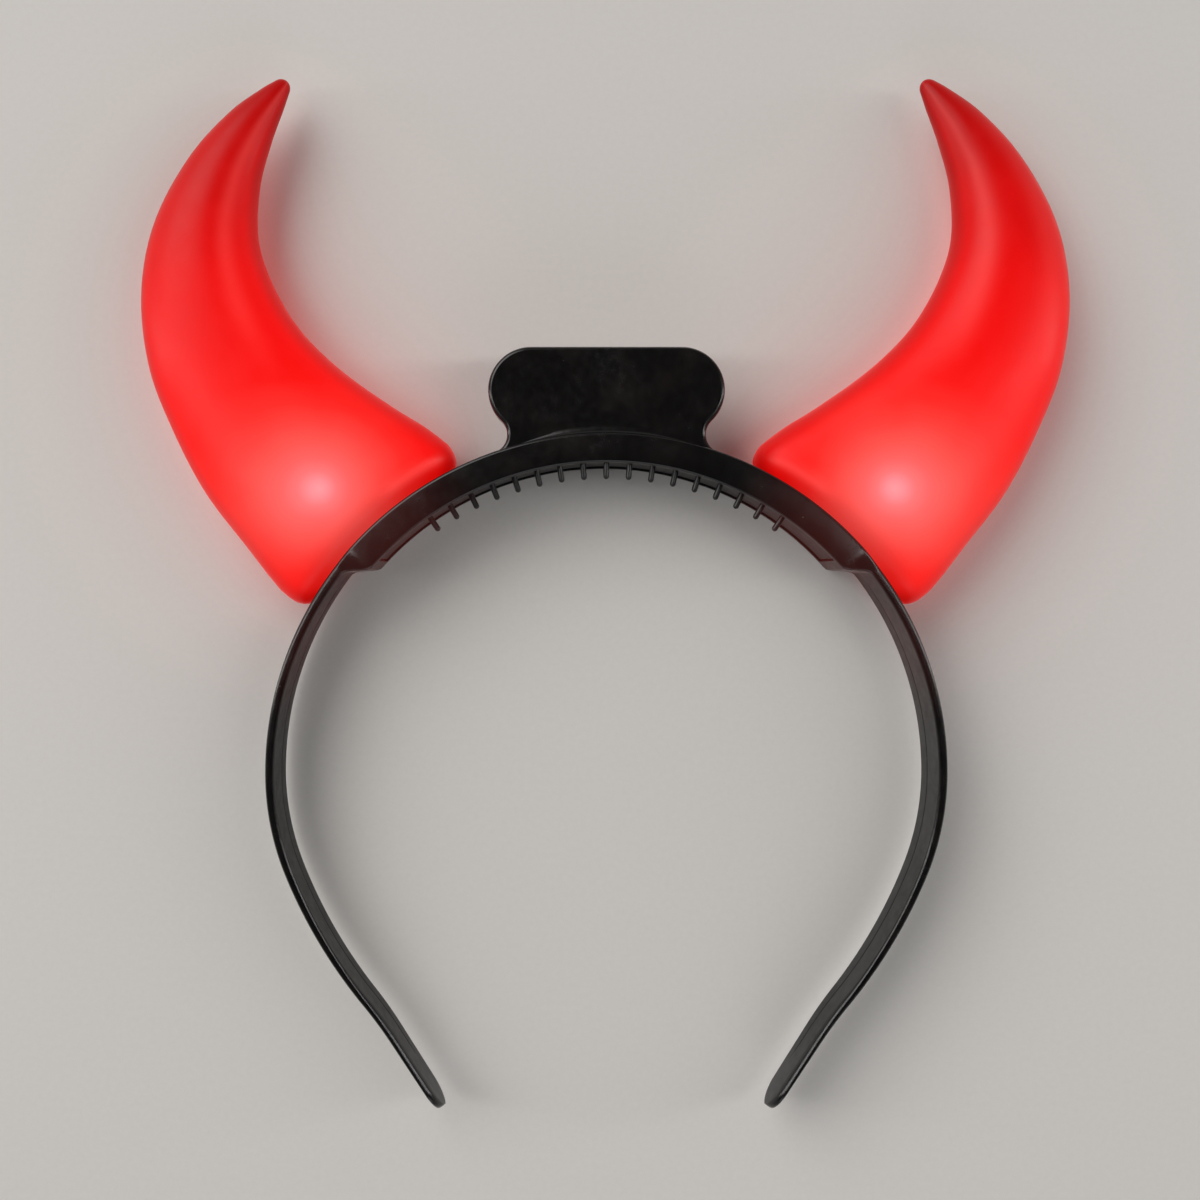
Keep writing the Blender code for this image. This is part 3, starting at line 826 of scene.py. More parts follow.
def band_point(distance):
    """Outer face of the right leg: its point and its inward direction."""
    point = arch_centre() + heading(0.0) * sizes().arch_radius
    angle = 0.0
    rest = distance
    for radius, turn in band_arcs():
        length = min(rest, radius * abs(turn))
        turned = math.copysign(length / radius, turn)
        bend = math.copysign(radius, turn)
        point += (heading(angle + turned) - heading(angle)) * bend
        angle += turned
        rest -= length
        if rest <= 0.0:
            return point, -heading(angle)
    onward = Vector((math.cos(angle), -math.sin(angle), 0.0))
    return point + onward * rest, -heading(angle)


def leg_start():
    """Distance from the crown at which the step below the housing ends."""
    return sizes().arch_radius * (sizes().housing_half_angle + STEP_ANGLE)


def band_size(distance):
    """Thickness, depth, groove share and edge opening of the band at a distance from the crown."""
    step_start = sizes().arch_radius * sizes().housing_half_angle
    step = ease(distance, step_start, leg_start())
    length = band_length()
    along = min(max((distance - leg_start()) / (length - leg_start()), 0.0), 1.0)
    leg_thickness = mix(sizes().leg_thickness, sizes().leg_end_thickness, along)
    leg_depth = mix(sizes().leg_depth, sizes().leg_end_depth, along)
    thickness = mix(sizes().housing_thickness, leg_thickness, step)
    depth = mix(sizes().housing_depth, leg_depth, step)
    end_share = max(1.0 - (length - distance) / LEG_END_ROUND, 0.0)
    groove = ease(distance, leg_start(), leg_start() + GROOVE_START_RUN)
    groove *= 1.0 - ease(distance, length - GROOVE_STOP[0], length - GROOVE_STOP[1])
    opening = ease(distance, length - OPEN_EDGE_RUN[0], length - OPEN_EDGE_RUN[1])
    return thickness, depth * math.sqrt(max(1.0 - end_share * end_share, 0.0)), groove, opening


def band_stations():
    """Distances from the crown at which the band's section is set."""
    round_start = band_length() - LEG_END_ROUND
    count = round(round_start / BAND_STEP)
    stations = [round_start * step / count for step in range(count + 1)]
    for step in range(1, 2 * DOME_STEPS + 1):
        turn = 0.5 * math.pi * step / (2 * DOME_STEPS + 0.2)
        stations.append(round_start + LEG_END_ROUND * math.sin(turn))
    return stations


def open_edge(corner, thickness, share):
    """Corner at the front rim's head side, opened by a share into a longer slope."""
    start, end = corner[0], corner[-1]
    opened = []
    for inward, forward in corner:
        inness = (inward - end[0]) / (start[0] - end[0])
        upness = (forward - start[1]) / (end[1] - start[1])
        slope_in = OPEN_EDGE_SHARE * thickness * share * (1.0 - inness) * upness
        slope_down = OPEN_EDGE_DROP * share * (1.0 - upness)
        opened.append((inward - slope_in, forward - slope_down))
    return opened


def rounded_corners(width, depth, radius):
    """Four corners of a rounded rectangle, each as (inward, forward) pairs, from the front."""
    radius = min(radius, LARGEST_ROUND_SHARE * width, LARGEST_ROUND_SHARE * depth)
    corners = (
        (radius, depth / 2.0 - radius, 90.0),
        (radius, radius - depth / 2.0, 180.0),
        (width - radius, radius - depth / 2.0, 270.0),
        (width - radius, depth / 2.0 - radius, 0.0),
    )
    rounded = []
    for inward, forward, start in corners:
        turns = [
            math.radians(start + 90.0 * step / CORNER_STEPS) for step in range(CORNER_STEPS + 1)
        ]
        rounded.append(
            [(inward + radius * math.cos(t), forward + radius * math.sin(t)) for t in turns]
        )
    return rounded


def band_section(thickness, depth, groove, opening):
    """Section of the band as (inward, forward) pairs, with its crown, groove and opened edge."""
    outer_front, outer_back, inner_back, inner_front = rounded_corners(
        thickness, depth, BAND_EDGE_ROUND
    )
    inner_front = open_edge(
        inner_front, thickness, opening * min(depth / sizes().leg_end_depth, 1.0)
    )
    low = inner_back[-1][1]
    high = inner_front[0][1]
    middle = mix(high, low, GROOVE_PLACE)
    half_width = min(GROOVE_HALF_WIDTH, GROOVE_WIDEST_SHARE * (high - low))
    grooved = []
    for step in range(-GROOVE_STEPS, GROOVE_STEPS + 1):
        dip = groove * GROOVE_DEPTH * math.cos(0.5 * math.pi * step / GROOVE_STEPS) ** 2
        grooved.append((thickness - dip, middle + half_width * step / GROOVE_STEPS))
    front = []
    for step in range(1, FACE_STEPS):
        front.append((mix(inner_front[-1][0], outer_front[0][0], step / FACE_STEPS), depth / 2.0))
    points = outer_front + outer_back + inner_back + grooved + inner_front + front
    crowned = []
    for inward, forward in points:
        aside = (2.0 * inward / thickness - 1.0) ** 2
        frontness = max(2.0 * forward / depth, 0.0) ** CROWN_POWER
        crowned.append((inward, forward - FRONT_CROWN * thickness * aside * frontness))
    return crowned


def band_ring(distance, side):
    """Ring of the band at a distance from the crown, on the side +1 or -1."""
    point, inward = band_point(distance)
    ring = []
    for into, forward in band_section(*band_size(distance)):
        place = point + inward * into
        ring.append((side * place.x, place.y, forward + sizes().housing_depth / 2.0))
    return ring


def housing_inner_radius():
    """Radius of the housing's rim on the head side."""
    return sizes().arch_radius - sizes().housing_thickness


def channel_half_angle():
    """Half angle of the housing's channel, one wall short of the housing's end."""
    return sizes().housing_half_angle - HOUSING_WALL / housing_inner_radius()


def arch_rings(half_angle, section):
    """Rings of a section, given as (radius, height) pairs, that follows the arch."""
    rings = []
    for step in range(ARCH_STEPS + 1):
        angle = mix(-half_angle, half_angle, step / ARCH_STEPS)
        rings.append([on_arch(radius, angle, height) for radius, height in section])
    return rings


def arc_points(centre, radius, start, end, steps=ARC_STEPS):
    """Points on an arc in the front view, from one angle to another."""
    points = []
    for step in range(steps + 1):
        angle = mix(start, end, step / steps)
        points.append((centre[0] + radius * math.cos(angle), centre[1] + radius * math.sin(angle)))
    return points


def tab_half_outline():
    """Right half of the plate's outline about the arch's centre, from the arch to its top edge."""
    corner_x = sizes().tab_width / 2.0 - TAB_CORNER
    corner_y = sizes().arch_radius + sizes().tab_height - TAB_CORNER
    neck_x = sizes().tab_neck_width / 2.0 + TAB_NECK_FILLET
    foot_reach = sizes().arch_radius + TAB_NECK_FILLET
    corner_reach = TAB_CORNER + TAB_NECK_FILLET
    foot_y = math.sqrt(foot_reach**2 - neck_x**2)
    top_y = corner_y - math.sqrt(max(corner_reach**2 - (neck_x - corner_x) ** 2, 0.0))
    foot = (neck_x, foot_y)
    top = (neck_x, top_y)
    if top_y < foot_y:
        # A short plate has one fillet, tangent to the arch and to the corner
        span = math.hypot(corner_x, corner_y)
        along = (foot_reach**2 - corner_reach**2 + span**2) / (2.0 * span)
        aside = math.sqrt(max(foot_reach**2 - along**2, 0.0))
        unit = (corner_x / span, corner_y / span)
        foot = (along * unit[0] + aside * unit[1], along * unit[1] - aside * unit[0])
        top = foot
    foot_start = math.atan2(-foot[1], -foot[0]) + 2.0 * math.pi
    corner_turn = math.atan2(corner_y - top[1], corner_x - top[0])
    points = arc_points(foot, TAB_NECK_FILLET, foot_start, math.pi)
    points += arc_points(top, TAB_NECK_FILLET, math.pi, corner_turn)[1:]
    corner = (corner_x, corner_y)
    points += arc_points(
        corner, TAB_CORNER, corner_turn - math.pi, math.pi / 2.0, 2 * ARC_STEPS
    )[1:]
    return points


def tab_foot_angle():
    """Angle from the crown at which the plate's foot runs out into the arch."""
    across, up = tab_half_outline()[0]
    return math.atan2(across, up)


def tab_outline():
    """Closed outline of the plate, its root sunk in the housing's roof."""
    half = tab_half_outline()
    root_radius = sizes().arch_radius - 0.5 * HOUSING_ROOF
    reach = tab_foot_angle()
    steps = 2 * ARC_STEPS
    root = [heading(mix(-reach, reach, step / steps)) * root_radius for step in range(steps + 1)]
    outline = [(point.x, point.y) for point in root]
    outline += half
    outline += [(-across, up) for across, up in reversed(half)]
    # A point that repeats the one before it has no edge of its own
    kept = []
    for point in outline:
        if not kept or math.dist(point, kept[-1]) > LEAST_EDGE:
            kept.append(point)
    return kept


def inset_outline(outline, inset):
    """Outline that runs counterclockwise, moved inward by an inset."""
    moved = []
    count = len(outline)
    for index, point in enumerate(outline):
        before = outline[index - 1]
        after = outline[(index + 1) % count]
        along = Vector((after[0] - before[0], after[1] - before[1])).normalized()
        moved.append((point[0] - along.y * inset, point[1] + along.x * inset))
    return moved


def make_tab(material):
    """Rounded plate on the crown, with soft edges all round."""
    back = sizes().housing_depth - TAB_SETBACK - sizes().tab_thickness
    front = sizes().housing_depth - TAB_SETBACK
    outline = tab_outline()
    centre = arch_centre()
    levels = []
    for step in range(TAB_EDGE_STEPS + 1):
        turn = 0.5 * math.pi * step / TAB_EDGE_STEPS
        inset = TAB_EDGE_ROUND * (1.0 - math.sin(turn))
        levels.append((inset, back + TAB_EDGE_ROUND * (1.0 - math.cos(turn))))
    levels += [(inset, back + front - height) for inset, height in reversed(levels)]
    rings = []
    for inset, height in levels:
        ring = inset_outline(outline, inset)
        rings.append([(centre.x + x, centre.y + y, height) for x, y in ring])
    shape = bmesh.new()
    loops = add_skin(shape, rings, closed_ends=False)
    shape.faces.new(loops[0])
    shape.faces.new(loops[-1])
    return finish_shape("tab_shape", shape, material)


def make_tab_foot(material):
    """Hollow fillet between the plate's face and the edge of the arch, fading toward the neck."""
    face = sizes().housing_depth - TAB_SETBACK
    radius = sizes().arch_radius
    sunk = TAB_FOOT_SUNK
    reach = math.asin((sizes().tab_neck_width / 2.0 - TAB_EDGE_ROUND) / (radius + TAB_FOOT_REACH))
    steps = ARCH_STEPS // 3
    rings = []
    for step in range(steps + 1):
        angle = mix(-reach, reach, step / steps)
        fade = 1.0 - ease(abs(angle), TAB_FOOT_FULL * reach, reach)
        share = mix(TAB_FOOT_LEAST, 1.0, fade)
        section = [(radius - sunk, face - sunk), (radius - sunk, face + TAB_FOOT_RISE * share)]
        for turn_step in range(CORNER_STEPS + 1):
            turn = 0.5 * math.pi * turn_step / CORNER_STEPS
            out = radius + TAB_FOOT_REACH * share * (1.0 - math.cos(turn))
            rise = TAB_FOOT_RISE * share * (1.0 - math.sin(turn)) - TAB_FOOT_OVERLAP
            section.append((out, face + rise))
        section.append((section[-1][0], face - sunk))
        rings.append([on_arch(out, angle, height) for out, height in section])
    return make_skin("tab_foot_shape", rings, material)


class HEADBAND_OT_band(bpy.types.Operator):
    """Build the band: legs, steps, hollow housing and plate as one moulding"""

    bl_idname = "headband.band"
    bl_label = "Band Moulding"
    bl_options = {"REGISTER", "UNDO"}

    def execute(self, context):
        material = black_plastic(
            "abs_black_polished", colours().band, colours().band_smoke, grain_mm=0.6, roughness=0.21
        )
        stations = band_stations()
        rings = [band_ring(distance, -1.0) for distance in reversed(stations[1:])]
        rings += [band_ring(distance, 1.0) for distance in stations]
        band = make_skin("band_moulding", rings, material)
        depth = sizes().housing_depth
        roof = sizes().arch_radius - HOUSING_ROOF
        rim = housing_inner_radius() - HOUSING_WALL
        channel_section = (
            (roof, depth - HOUSING_WALL),
            (roof, HOUSING_WALL),
            (rim, HOUSING_WALL),
            (rim, depth - HOUSING_WALL),
        )
        channel_rings = arch_rings(channel_half_angle(), channel_section)
        channel = make_skin("channel_shape", channel_rings, material)
        joined = [make_tab(material), make_tab_foot(material)]
        combine(band, joined, "UNION")
        combine(band, [channel], "DIFFERENCE")
        settle_mesh(band, joined + [channel], BAND_SHARP)
        place_piece(band, "headband")
        return {"FINISHED"}


def pin_profile():
    """Depth and radius of a comb pin's rings, from inside the strip to its domed end."""
    radius = sizes().pin_diameter / 2.0
    length = sizes().pin_length
    profile = [(-0.5 * COMB_THICKNESS, radius + PIN_COLLAR)]
    for step in range(CORNER_STEPS + 1):
        turn = 0.5 * math.pi * step / CORNER_STEPS
        out = PIN_COLLAR * (1.0 - math.sin(turn))
        profile.append((PIN_COLLAR * (1.0 - math.cos(turn)), radius + out))
    shoulder = length - radius
    profile.append((0.5 * (shoulder + PIN_COLLAR), radius))
    for step in range(DOME_STEPS):
        turn = 0.5 * math.pi * step / DOME_STEPS
        profile.append((shoulder + radius * math.sin(turn), radius * math.cos(turn)))
    return profile


def pin_rings(angle, root_radius):
    """Rings of one comb pin that points to the head at an angle from the crown."""
    inward = -heading(angle)
    across = Vector((math.cos(angle), -math.sin(angle), 0.0))
    forward = Vector((0.0, 0.0, 1.0))
    root = on_arch(root_radius, angle, sizes().housing_depth - PIN_SETBACK)
    rings = []
    for depth, radius in pin_profile():
        ring = []
        for side in range(PIN_SIDES):
            turn = 2.0 * math.pi * side / PIN_SIDES
            place = (across * math.cos(turn) + forward * math.sin(turn)) * radius
            ring.append(root + inward * depth + place)
        rings.append(ring)
    return rings


class HEADBAND_OT_comb(bpy.types.Operator):
    """Build the strip that closes the housing's channel, with its row of comb pins"""

    bl_idname = "headband.comb"
    bl_label = "Comb Strip"
    bl_options = {"REGISTER", "UNDO"}

    def execute(self, context):
        material = black_plastic(
            "abs_black_satin", colours().comb, colours().band_smoke, grain_mm=0.5, roughness=0.32
        )
        inner = housing_inner_radius() + COMB_RECESS
        depth = sizes().housing_depth - 2.0 * (HOUSING_WALL + SEAT_GAP)
        corners = rounded_corners(COMB_THICKNESS, depth, COMB_EDGE_ROUND)
        middle = sizes().housing_depth / 2.0
        section = [
            (inner + COMB_THICKNESS - inward, middle + forward)
            for corner in corners
            for inward, forward in corner
        ]
        half_angle = channel_half_angle() - SEAT_GAP / inner
        shape = bmesh.new()
        add_skin(shape, arch_rings(half_angle, section))
        each_side = int((channel_half_angle() - COMB_END_MARGIN) / sizes().pin_pitch)
        for pin in range(-each_side, each_side + 1):
            add_skin(shape, pin_rings(pin * sizes().pin_pitch, inner))
        comb = finish_shape("comb_liner", shape, material)
        settle_mesh(comb, [], COMB_SHARP)
        place_piece(comb, "comb_strip")
        return {"FINISHED"}


def blend_rows(rows, place):
    """Smooth value of each column of a table at a place from 0 to its last row."""
    last = len(rows) - 1
    index = min(int(place), last - 1)
    share = place - index
    before = rows[max(index - 1, 0)]
    start = rows[index]
    end = rows[index + 1]
    after = rows[min(index + 2, last)]
    square = share * share
    cube = square * share
    blended = []
    for column in range(len(start)):
        enter = 0.5 * (end[column] - before[column])
        leave = 0.5 * (after[column] - start[column])
        blended.append(
            start[column] * (2.0 * cube - 3.0 * square + 1.0)
            + enter * (cube - 2.0 * square + share)
            + end[column] * (3.0 * square - 2.0 * cube)
            + leave * (cube - square)
        )
    return blended


def unit_ring(squareness):
    """Points around a ring of half width 1 and half depth 1, an oval at squareness 2."""
    points = []
    for side in range(HORN_SIDES):
        turn = 2.0 * math.pi * side / HORN_SIDES
        across = math.cos(turn)
        front = math.sin(turn)
        reach = (abs(across) ** squareness + abs(front) ** squareness) ** (-1.0 / squareness)
        points.append((across * reach, front * reach))
    return points


def arch_drop(across):
    """Drop of the arch's face, and of what seats on it, away from the middle of a horn."""
    seat_radius = sizes().arch_radius + SEAT_GAP
    return seat_radius - math.sqrt(max(seat_radius**2 - across**2, 0.0))


def sag_share(height):
    """Share of the arch's drop that the horn's skin still follows at a height."""
    return 1.0 - smooth_share(height / (HORN_SAG_SHARE * sizes().horn_length))


def horn_ring(section, inset):
    """Ring of the horn's skin, moved inward by an inset, in the horn's own axes."""
    height, shift, lean, width, depth, squareness = section
    half_width = max(width * sizes().horn_width / 2.0 - inset, LEAST_RADIUS)
    half_depth = max(depth * sizes().horn_depth / 2.0 - inset, LEAST_RADIUS)
    lean = math.radians(lean)
    length = sizes().horn_length
    sag = sag_share(height * length)
    ring = []
    for side, front in unit_ring(squareness):
        across = half_width * side
        place = shift * length + across * math.cos(lean)
        rise = height * length - across * math.sin(lean) - arch_drop(across) * sag
        ring.append((place, rise, half_depth * front))
    return ring


def foot_ring(inset, edge):
    """Ring on the rounded edge of the horn's foot, from its sole (0) to its wall (90 degrees)."""
    _, shift, _, width, depth, squareness = HORN_SECTIONS[0]
    end_round = max(HORN_END_ROUND - inset, LEAST_RADIUS)
    face_round = max(HORN_FACE_ROUND - inset, LEAST_RADIUS)
    half_width = width * sizes().horn_width / 2.0 - inset - end_round * (1.0 - math.sin(edge))
    half_depth = depth * sizes().horn_depth / 2.0 - inset - face_round * (1.0 - math.sin(edge))
    ring = []
    for side, front in unit_ring(squareness):
        across = shift * sizes().horn_length + half_width * side
        rounding = mix(face_round, end_round, side**4)
        rise = inset + rounding * (1.0 - math.cos(edge))
        ring.append((across, rise - arch_drop(across) * sag_share(rise), half_depth * front))
    return ring


def foot_rings(inset):
    """Rings around the horn's foot, from its sole up to just below its wall."""
    return [foot_ring(inset, 0.5 * math.pi * step / FOOT_STEPS) for step in range(FOOT_STEPS)]


def horn_path(section):
    """Length along the horn's middle line from its foot, near enough for its rings."""
    height, shift = section[0], section[1]
    return sizes().horn_length * math.hypot(height, shift - HORN_SECTIONS[0][1])


def wall_rings(inset, start_length, end_length):
    """Rings up the horn's wall between two lengths along its table of sections."""
    rings = []
    last = len(HORN_SECTIONS) - 1
    for step in range(HORN_STEPS + 1):
        section = blend_rows(HORN_SECTIONS, last * step / HORN_STEPS)
        if start_length <= horn_path(section) <= end_length:
            rings.append(horn_ring(section, inset))
    return rings


def tip_rings():
    """Rings that close the horn in a round tip, which starts at the slope of the horn's sides."""
    section = HORN_SECTIONS[-1]
    lean = math.radians(section[2])
    rings = []
    for step in range(1, DOME_STEPS + 1):
        turn = mix(HORN_TIP_TAPER, 0.5 * math.pi, step / (DOME_STEPS + 0.5))
        reach = HORN_TIP_RADIUS * (math.sin(turn) - math.sin(HORN_TIP_TAPER)) / sizes().horn_length
        row = list(section)
        row[0] += math.cos(lean) * reach
        row[1] += math.sin(lean) * reach
        row[3] *= math.cos(turn) / math.cos(HORN_TIP_TAPER)
        row[4] *= math.cos(turn) / math.cos(HORN_TIP_TAPER)
        rings.append(horn_ring(row, 0.0))
    return rings


def mouth_ring(lift):
    """Oval mouth in the horn's foot, lifted from the foot's face."""
    ring = []
    for side, front in unit_ring(HORN_SECTIONS[0][5]):
        across = HORN_SECTIONS[0][1] * sizes().horn_length + HORN_MOUTH_WIDTH / 2.0 * side
        ring.append((across, lift - arch_drop(across), HORN_MOUTH_DEPTH / 2.0 * front))
    return ring


def horn_angle():
    """Angle from the crown at which a horn stands, its foot a gap away from the plate's."""
    foot_half_width = HORN_SECTIONS[0][3] * sizes().horn_width / 2.0
    foot_half_angle = math.asin(min(foot_half_width / (sizes().arch_radius + SEAT_GAP), 1.0))
    return tab_foot_angle() + HORN_TAB_GAP / sizes().arch_radius + foot_half_angle


def stand_on_arch(rings, side, turn):
    """Rings about an upright axis, stood on the arch at an angle, on the side +1 or -1."""
    outward = heading(turn)
    along = Vector((math.cos(turn), -math.sin(turn), 0.0))
    seat = on_arch(sizes().arch_radius + SEAT_GAP, turn, sizes().housing_depth / 2.0)
    stood = []
    for ring in rings:
        turned = []
        for across, height, forward in ring:
            place = seat + along * across + outward * height
            turned.append(Vector((side * place.x, place.y, place.z + forward)))
        stood.append(turned)
    return stood


def lamp_centre(side):
    """Middle of the lamp's dome on the side +1 or -1."""
    turn = horn_angle() + LAMP_TURN
    rise = LAMP_POST_LENGTH + LAMP_BODY_LENGTH
    return stand_on_arch([[(0.0, rise, 0.0)]], side, turn)[0][0]


def glow_distance(point, lamp, side):
    """Distance in the front view from the lamp, shorter toward the outer side of the foot."""
    offset = (point - lamp).to_2d()
    distance = offset.length
    outward = max(side * offset.x, 0.0) / (distance + GLOW_CORE)
    return distance * (1.0 - GLOW_OUTER_SHARE * outward) / MM


def bell(value, middle, half_width):
    """Share that is 1 at the middle and falls off to both sides."""
    return math.exp(-(((value - middle) / half_width) ** 2))


def painted_highlight_share(across, along, height_mm):
    """Painted highlights of a horn: two lengthwise runs and one over the foot's edge."""
    outer = bell(across, *OUTER_RUN) * ease(along, *OUTER_RUN_IN)
    outer *= OUTER_RUN_LIGHT - OUTER_RUN_LOSS * ease(along, *OUTER_RUN_OUT)
    inner = bell(across, *INNER_RUN) * ease(along, *INNER_RUN_IN)
    foot = bell(height_mm, *FOOT_RUN_MM)
    foot *= ease(-across, *FOOT_RUN_IN) * (1.0 - ease(-across, *FOOT_RUN_OUT))
    return outer + INNER_RUN_LIGHT * inner + FOOT_RUN_LIGHT * foot


def painted_edge_shade(across, height_mm):
    """Painted shade toward the sides of the shell and the edge of its foot."""
    sides = 1.0 - SIDE_DIMMING * ease(abs(across), *SIDE_DIM_RUN)
    foot = mix(FOOT_SHADE, 1.0, ease(height_mm, *FOOT_SHADE_MM))
    return sides * foot


class HEADBAND_OT_horns(bpy.types.Operator):
    """Build both hollow curved horns, open at the foot for their lamps"""

    bl_idname = "headband.horns"
    bl_label = "Horns"
    bl_options = {"REGISTER", "UNDO"}

    def execute(self, context):
        material = horn_plastic()
        tip_start = horn_path(HORN_SECTIONS[-1])
        rings = tip_rings()[::-1]
        rings += wall_rings(0.0, HORN_END_ROUND, tip_start)[::-1]
        rings += foot_rings(0.0)[::-1]
        rings += [mouth_ring(0.0), mouth_ring(HORN_WALL)]
        rings += foot_rings(HORN_WALL)
        rings += wall_rings(HORN_WALL, HORN_END_ROUND, tip_start - HORN_TIP_FILL)
        for name, side in (("left", -1.0), ("right", 1.0)):
            stood = stand_on_arch(rings, side, horn_angle())
            horn = make_skin(f"horn_shell_{name}", stood, material)
            mark_light(horn, rings, side)
            horn.data.set_sharp_from_angle(angle=HORN_SHARP)
            place_piece(horn, f"horn_{name}")
        return {"FINISHED"}


def mark_light(horn, rings, side):
    """Store on a horn's points their distance from the lamp, their painted highlights and their
    painted shade.
    """
    lamp = lamp_centre(side)
    centre_shift = HORN_SECTIONS[0][1] * sizes().horn_length
    points = horn.data.vertices
    distances = [glow_distance(point.co, lamp, side) for point in points]
    highlight_paints = []
    shades = []
    for ring in rings:
        middle = [sum(place[axis] for place in ring) / len(ring) for axis in (0, 1)]
        half_width = max(math.dist(place[:2], middle) for place in ring)
        path = math.hypot(middle[1], middle[0] - centre_shift)
        along = path / (RUN_LENGTH_SHARE * sizes().horn_length)
        for place in ring:
            reach = math.dist(place[:2], middle)
            across = math.copysign(reach / half_width, place[0] - middle[0])
            lift = place[1] + arch_drop(place[0]) * sag_share(place[1])
            highlight_paints.append(painted_highlight_share(across, along, lift / MM))
            shades.append(painted_edge_shade(across, lift / MM))
    # The poles that close the two ends come last
    highlight_paints += [0.0] * (len(points) - len(highlight_paints))
    shades += [POLE_SHADE] * (len(points) - len(shades))
    for name, values in (("lamp_distance", distances), ("highlight_paint", highlight_paints), ("painted_edge_shade", shades)):
        attribute = horn.data.attributes.new(name, "FLOAT", "POINT")
        attribute.data.foreach_set("value", values)


class HEADBAND_OT_lamps(bpy.types.Operator):
    """Build the two domed lamps, each on its post inside a horn"""

    bl_idname = "headband.lamps"
    bl_label = "Lamps"
    bl_options = {"REGISTER", "UNDO"}

    def execute(self, context):
        material = lamp_plastic()
        radius = sizes().lamp_diameter / 2.0
        body = LAMP_POST_LENGTH + LAMP_FLANGE_HEIGHT
        dome = LAMP_POST_LENGTH + LAMP_BODY_LENGTH
        soft = LAMP_EDGE_ROUND
        profile = [
            (0.0, LAMP_POST_DIAMETER / 2.0),
            (LAMP_POST_LENGTH, LAMP_POST_DIAMETER / 2.0),
            (LAMP_POST_LENGTH, radius + LAMP_FLANGE - soft),
            (LAMP_POST_LENGTH + soft, radius + LAMP_FLANGE),
            (body - soft, radius + LAMP_FLANGE),
            (body, radius + LAMP_FLANGE - soft),
            (body, radius),
            (dome, radius),
        ]
        for step in range(1, DOME_STEPS + 1):
            turn = 0.5 * math.pi * step / (DOME_STEPS + 0.5)
            profile.append((dome + radius * math.sin(turn), radius * math.cos(turn)))
        turns = [2.0 * math.pi * step / LAMP_SIDES for step in range(LAMP_SIDES)]
        rings = []
        for height, size in profile:
            rings.append([(size * math.cos(turn), height, size * math.sin(turn)) for turn in turns])
        top = dome + radius
        for name, side in (("left", -1.0), ("right", 1.0)):
            stood = stand_on_arch(rings, side, horn_angle() + LAMP_TURN)
            lamp = make_skin(f"lamp_lens_{name}", stood, material)
            heights = [place[1] for ring in rings for place in ring] + [0.0, top]
            rise = lamp.data.attributes.new("rise", "FLOAT", "POINT")
            lit = [ease(height, LAMP_GLOW_START * top, top) for height in heights]
            rise.data.foreach_set("value", lit)
            lamp.data.set_sharp_from_angle(angle=LAMP_SHARP)
            place_piece(lamp, f"lamp_{name}")
        return {"FINISHED"}


def make_floor():
    """Pale floor under the headband, wide enough for a low camera."""
    half = FLOOR_HALF_SIZE
    shape = bmesh.new()
    corners = ((-half, -half), (half, -half), (half, half), (-half, half))
    shape.faces.new([shape.verts.new((x, y, 0.0)) for x, y in corners])
    floor = finish_shape("floor", shape, floor_paper())


def make_light(name, place, width, length, watts, code):
    """Softbox of a width and length that faces the headband."""
    data = bpy.data.lights.new(name, "AREA")
    data.shape = "RECTANGLE"
    data.size = width
    data.size_y = length
    data.energy = watts
    data.color = linear(code)
    light = bpy.data.objects.new(name, data)
    light.location = place
    light.rotation_euler = (-Vector(place)).to_track_quat("-Z", "Y").to_euler()
    light.visible_camera = False
    bpy.context.scene.collection.objects.link(light)


def make_room_light():
    """Soft light that falls alike on the near and the far floor."""
    data = bpy.data.lights.new("room_light", "SUN")
    data.angle = ROOM_LIGHT_SPREAD
    data.energy = ROOM_LIGHT_STRENGTH
    light = bpy.data.objects.new("room_light", data)
    light.rotation_euler = (-Vector(ROOM_LIGHT_PLACE)).to_track_quat("-Z", "Y").to_euler()
    bpy.context.scene.collection.objects.link(light)


def make_world():
    """Studio room round the stage: pale walls under a dark ceiling."""
    world = bpy.data.worlds.new("studio_room")
    world.use_nodes = True
    tree = world.node_tree
    direction = add_node(tree, "ShaderNodeTexCoord").outputs["Generated"]
    parts = add_node(tree, "ShaderNodeSeparateXYZ", inputs={"Vector": direction})
    upness = add_node(
        tree, "ShaderNodeMapRange", SMOOTH,
        {"Value": parts.outputs["Z"], "From Min": ROOM_BLEND[0], "From Max": ROOM_BLEND[1]},
    )
    room = add_node(
        tree, "ShaderNodeMix", COLOUR_MIX,
        {
            "Factor": upness.outputs["Result"], "A": opaque(linear(ROOM_WALLS)),
            "B": opaque(linear(ROOM_CEILING)),
        },
    )
    background = tree.nodes["Background"]
    tree.links.new(room.outputs["Result"], background.inputs["Color"])
    background.inputs["Strength"].default_value = ROOM_STRENGTH
    bpy.context.scene.world = world


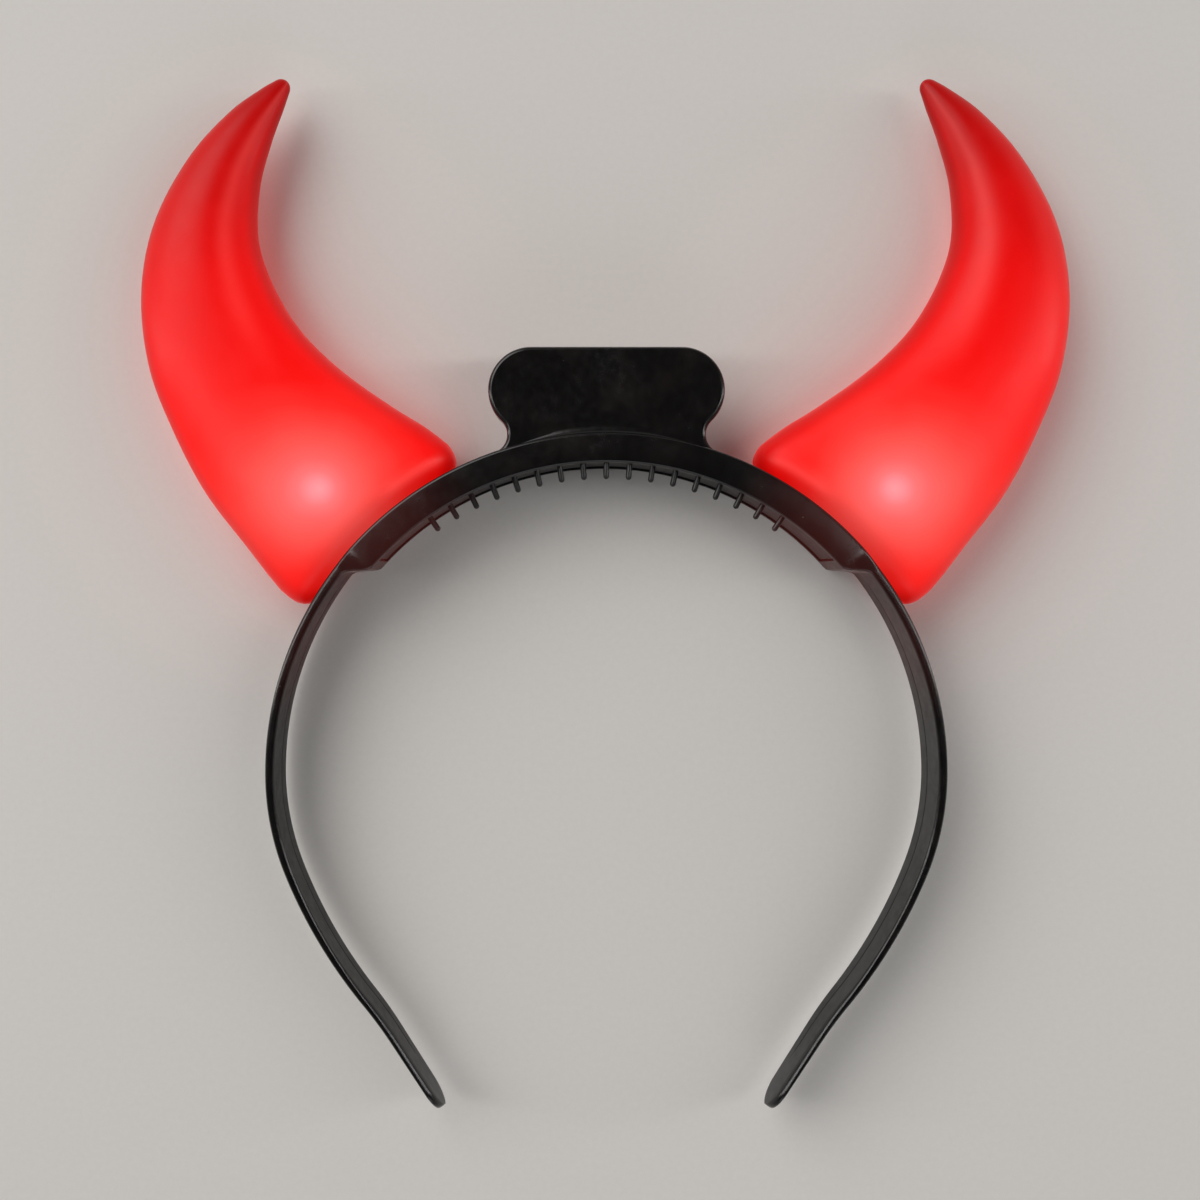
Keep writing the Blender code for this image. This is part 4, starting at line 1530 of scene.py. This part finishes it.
def make_camera():
    """Camera straight over the headband, at the angle of the front view."""
    data = bpy.data.cameras.new("front_camera")
    data.lens = CAMERA_LENS
    data.sensor_width = CAMERA_SENSOR_MM
    data.shift_x, data.shift_y = CAMERA_SHIFT
    data.clip_start, data.clip_end = CAMERA_CLIP
    camera = bpy.data.objects.new("front_camera", data)
    camera.location = CAMERA_PLACE
    bpy.context.scene.collection.objects.link(camera)
    bpy.context.scene.camera = camera


class HEADBAND_OT_stage(bpy.types.Operator):
    """Set the floor, the studio room, its softboxes and the camera"""

    bl_idname = "headband.stage"
    bl_label = "Stage"
    bl_options = {"REGISTER", "UNDO"}

    def execute(self, context):
        make_floor()
        make_world()
        for row in LIGHTS:
            make_light(*row)
        make_room_light()
        make_camera()
        # Plain colours keep the lit red as strong as it is to the eye
        context.scene.view_settings.view_transform = "Standard"
        return {"FINISHED"}


class VIEW3D_PT_headband(bpy.types.Panel):
    """Sidebar list of the headband's pieces"""

    bl_label = "Devil Horns Headband"
    bl_idname = "VIEW3D_PT_headband"
    bl_space_type = "VIEW_3D"
    bl_region_type = "UI"
    bl_category = "Headband"

    def draw(self, context):
        column = self.layout.column()
        for name in HeadbandSizes.__annotations__:
            column.prop(context.scene.headband_sizes, name)
        for name in HeadbandColours.__annotations__:
            column.prop(context.scene.headband_colours, name)
        for operator in OPERATORS:
            column.operator(operator.bl_idname)


OPERATORS = (
    HEADBAND_OT_band,
    HEADBAND_OT_comb,
    HEADBAND_OT_horns,
    HEADBAND_OT_lamps,
    HEADBAND_OT_stage,
)
CLASSES = (HeadbandSizes, HeadbandColours, *OPERATORS, VIEW3D_PT_headband)


def register():
    """Add the classes and the scene's settings."""
    for item in CLASSES:
        bpy.utils.register_class(item)
    bpy.types.Scene.headband_sizes = PointerProperty(type=HeadbandSizes)
    bpy.types.Scene.headband_colours = PointerProperty(type=HeadbandColours)


def unregister():
    """Take away the scene's settings and the classes."""
    del bpy.types.Scene.headband_colours
    del bpy.types.Scene.headband_sizes
    for item in reversed(CLASSES):
        bpy.utils.unregister_class(item)


def main():
    """Build every piece and the stage."""
    register()
    bpy.ops.headband.band()
    bpy.ops.headband.comb()
    bpy.ops.headband.horns()
    bpy.ops.headband.lamps()
    bpy.ops.headband.stage()


if __name__ == "__main__":
    main()
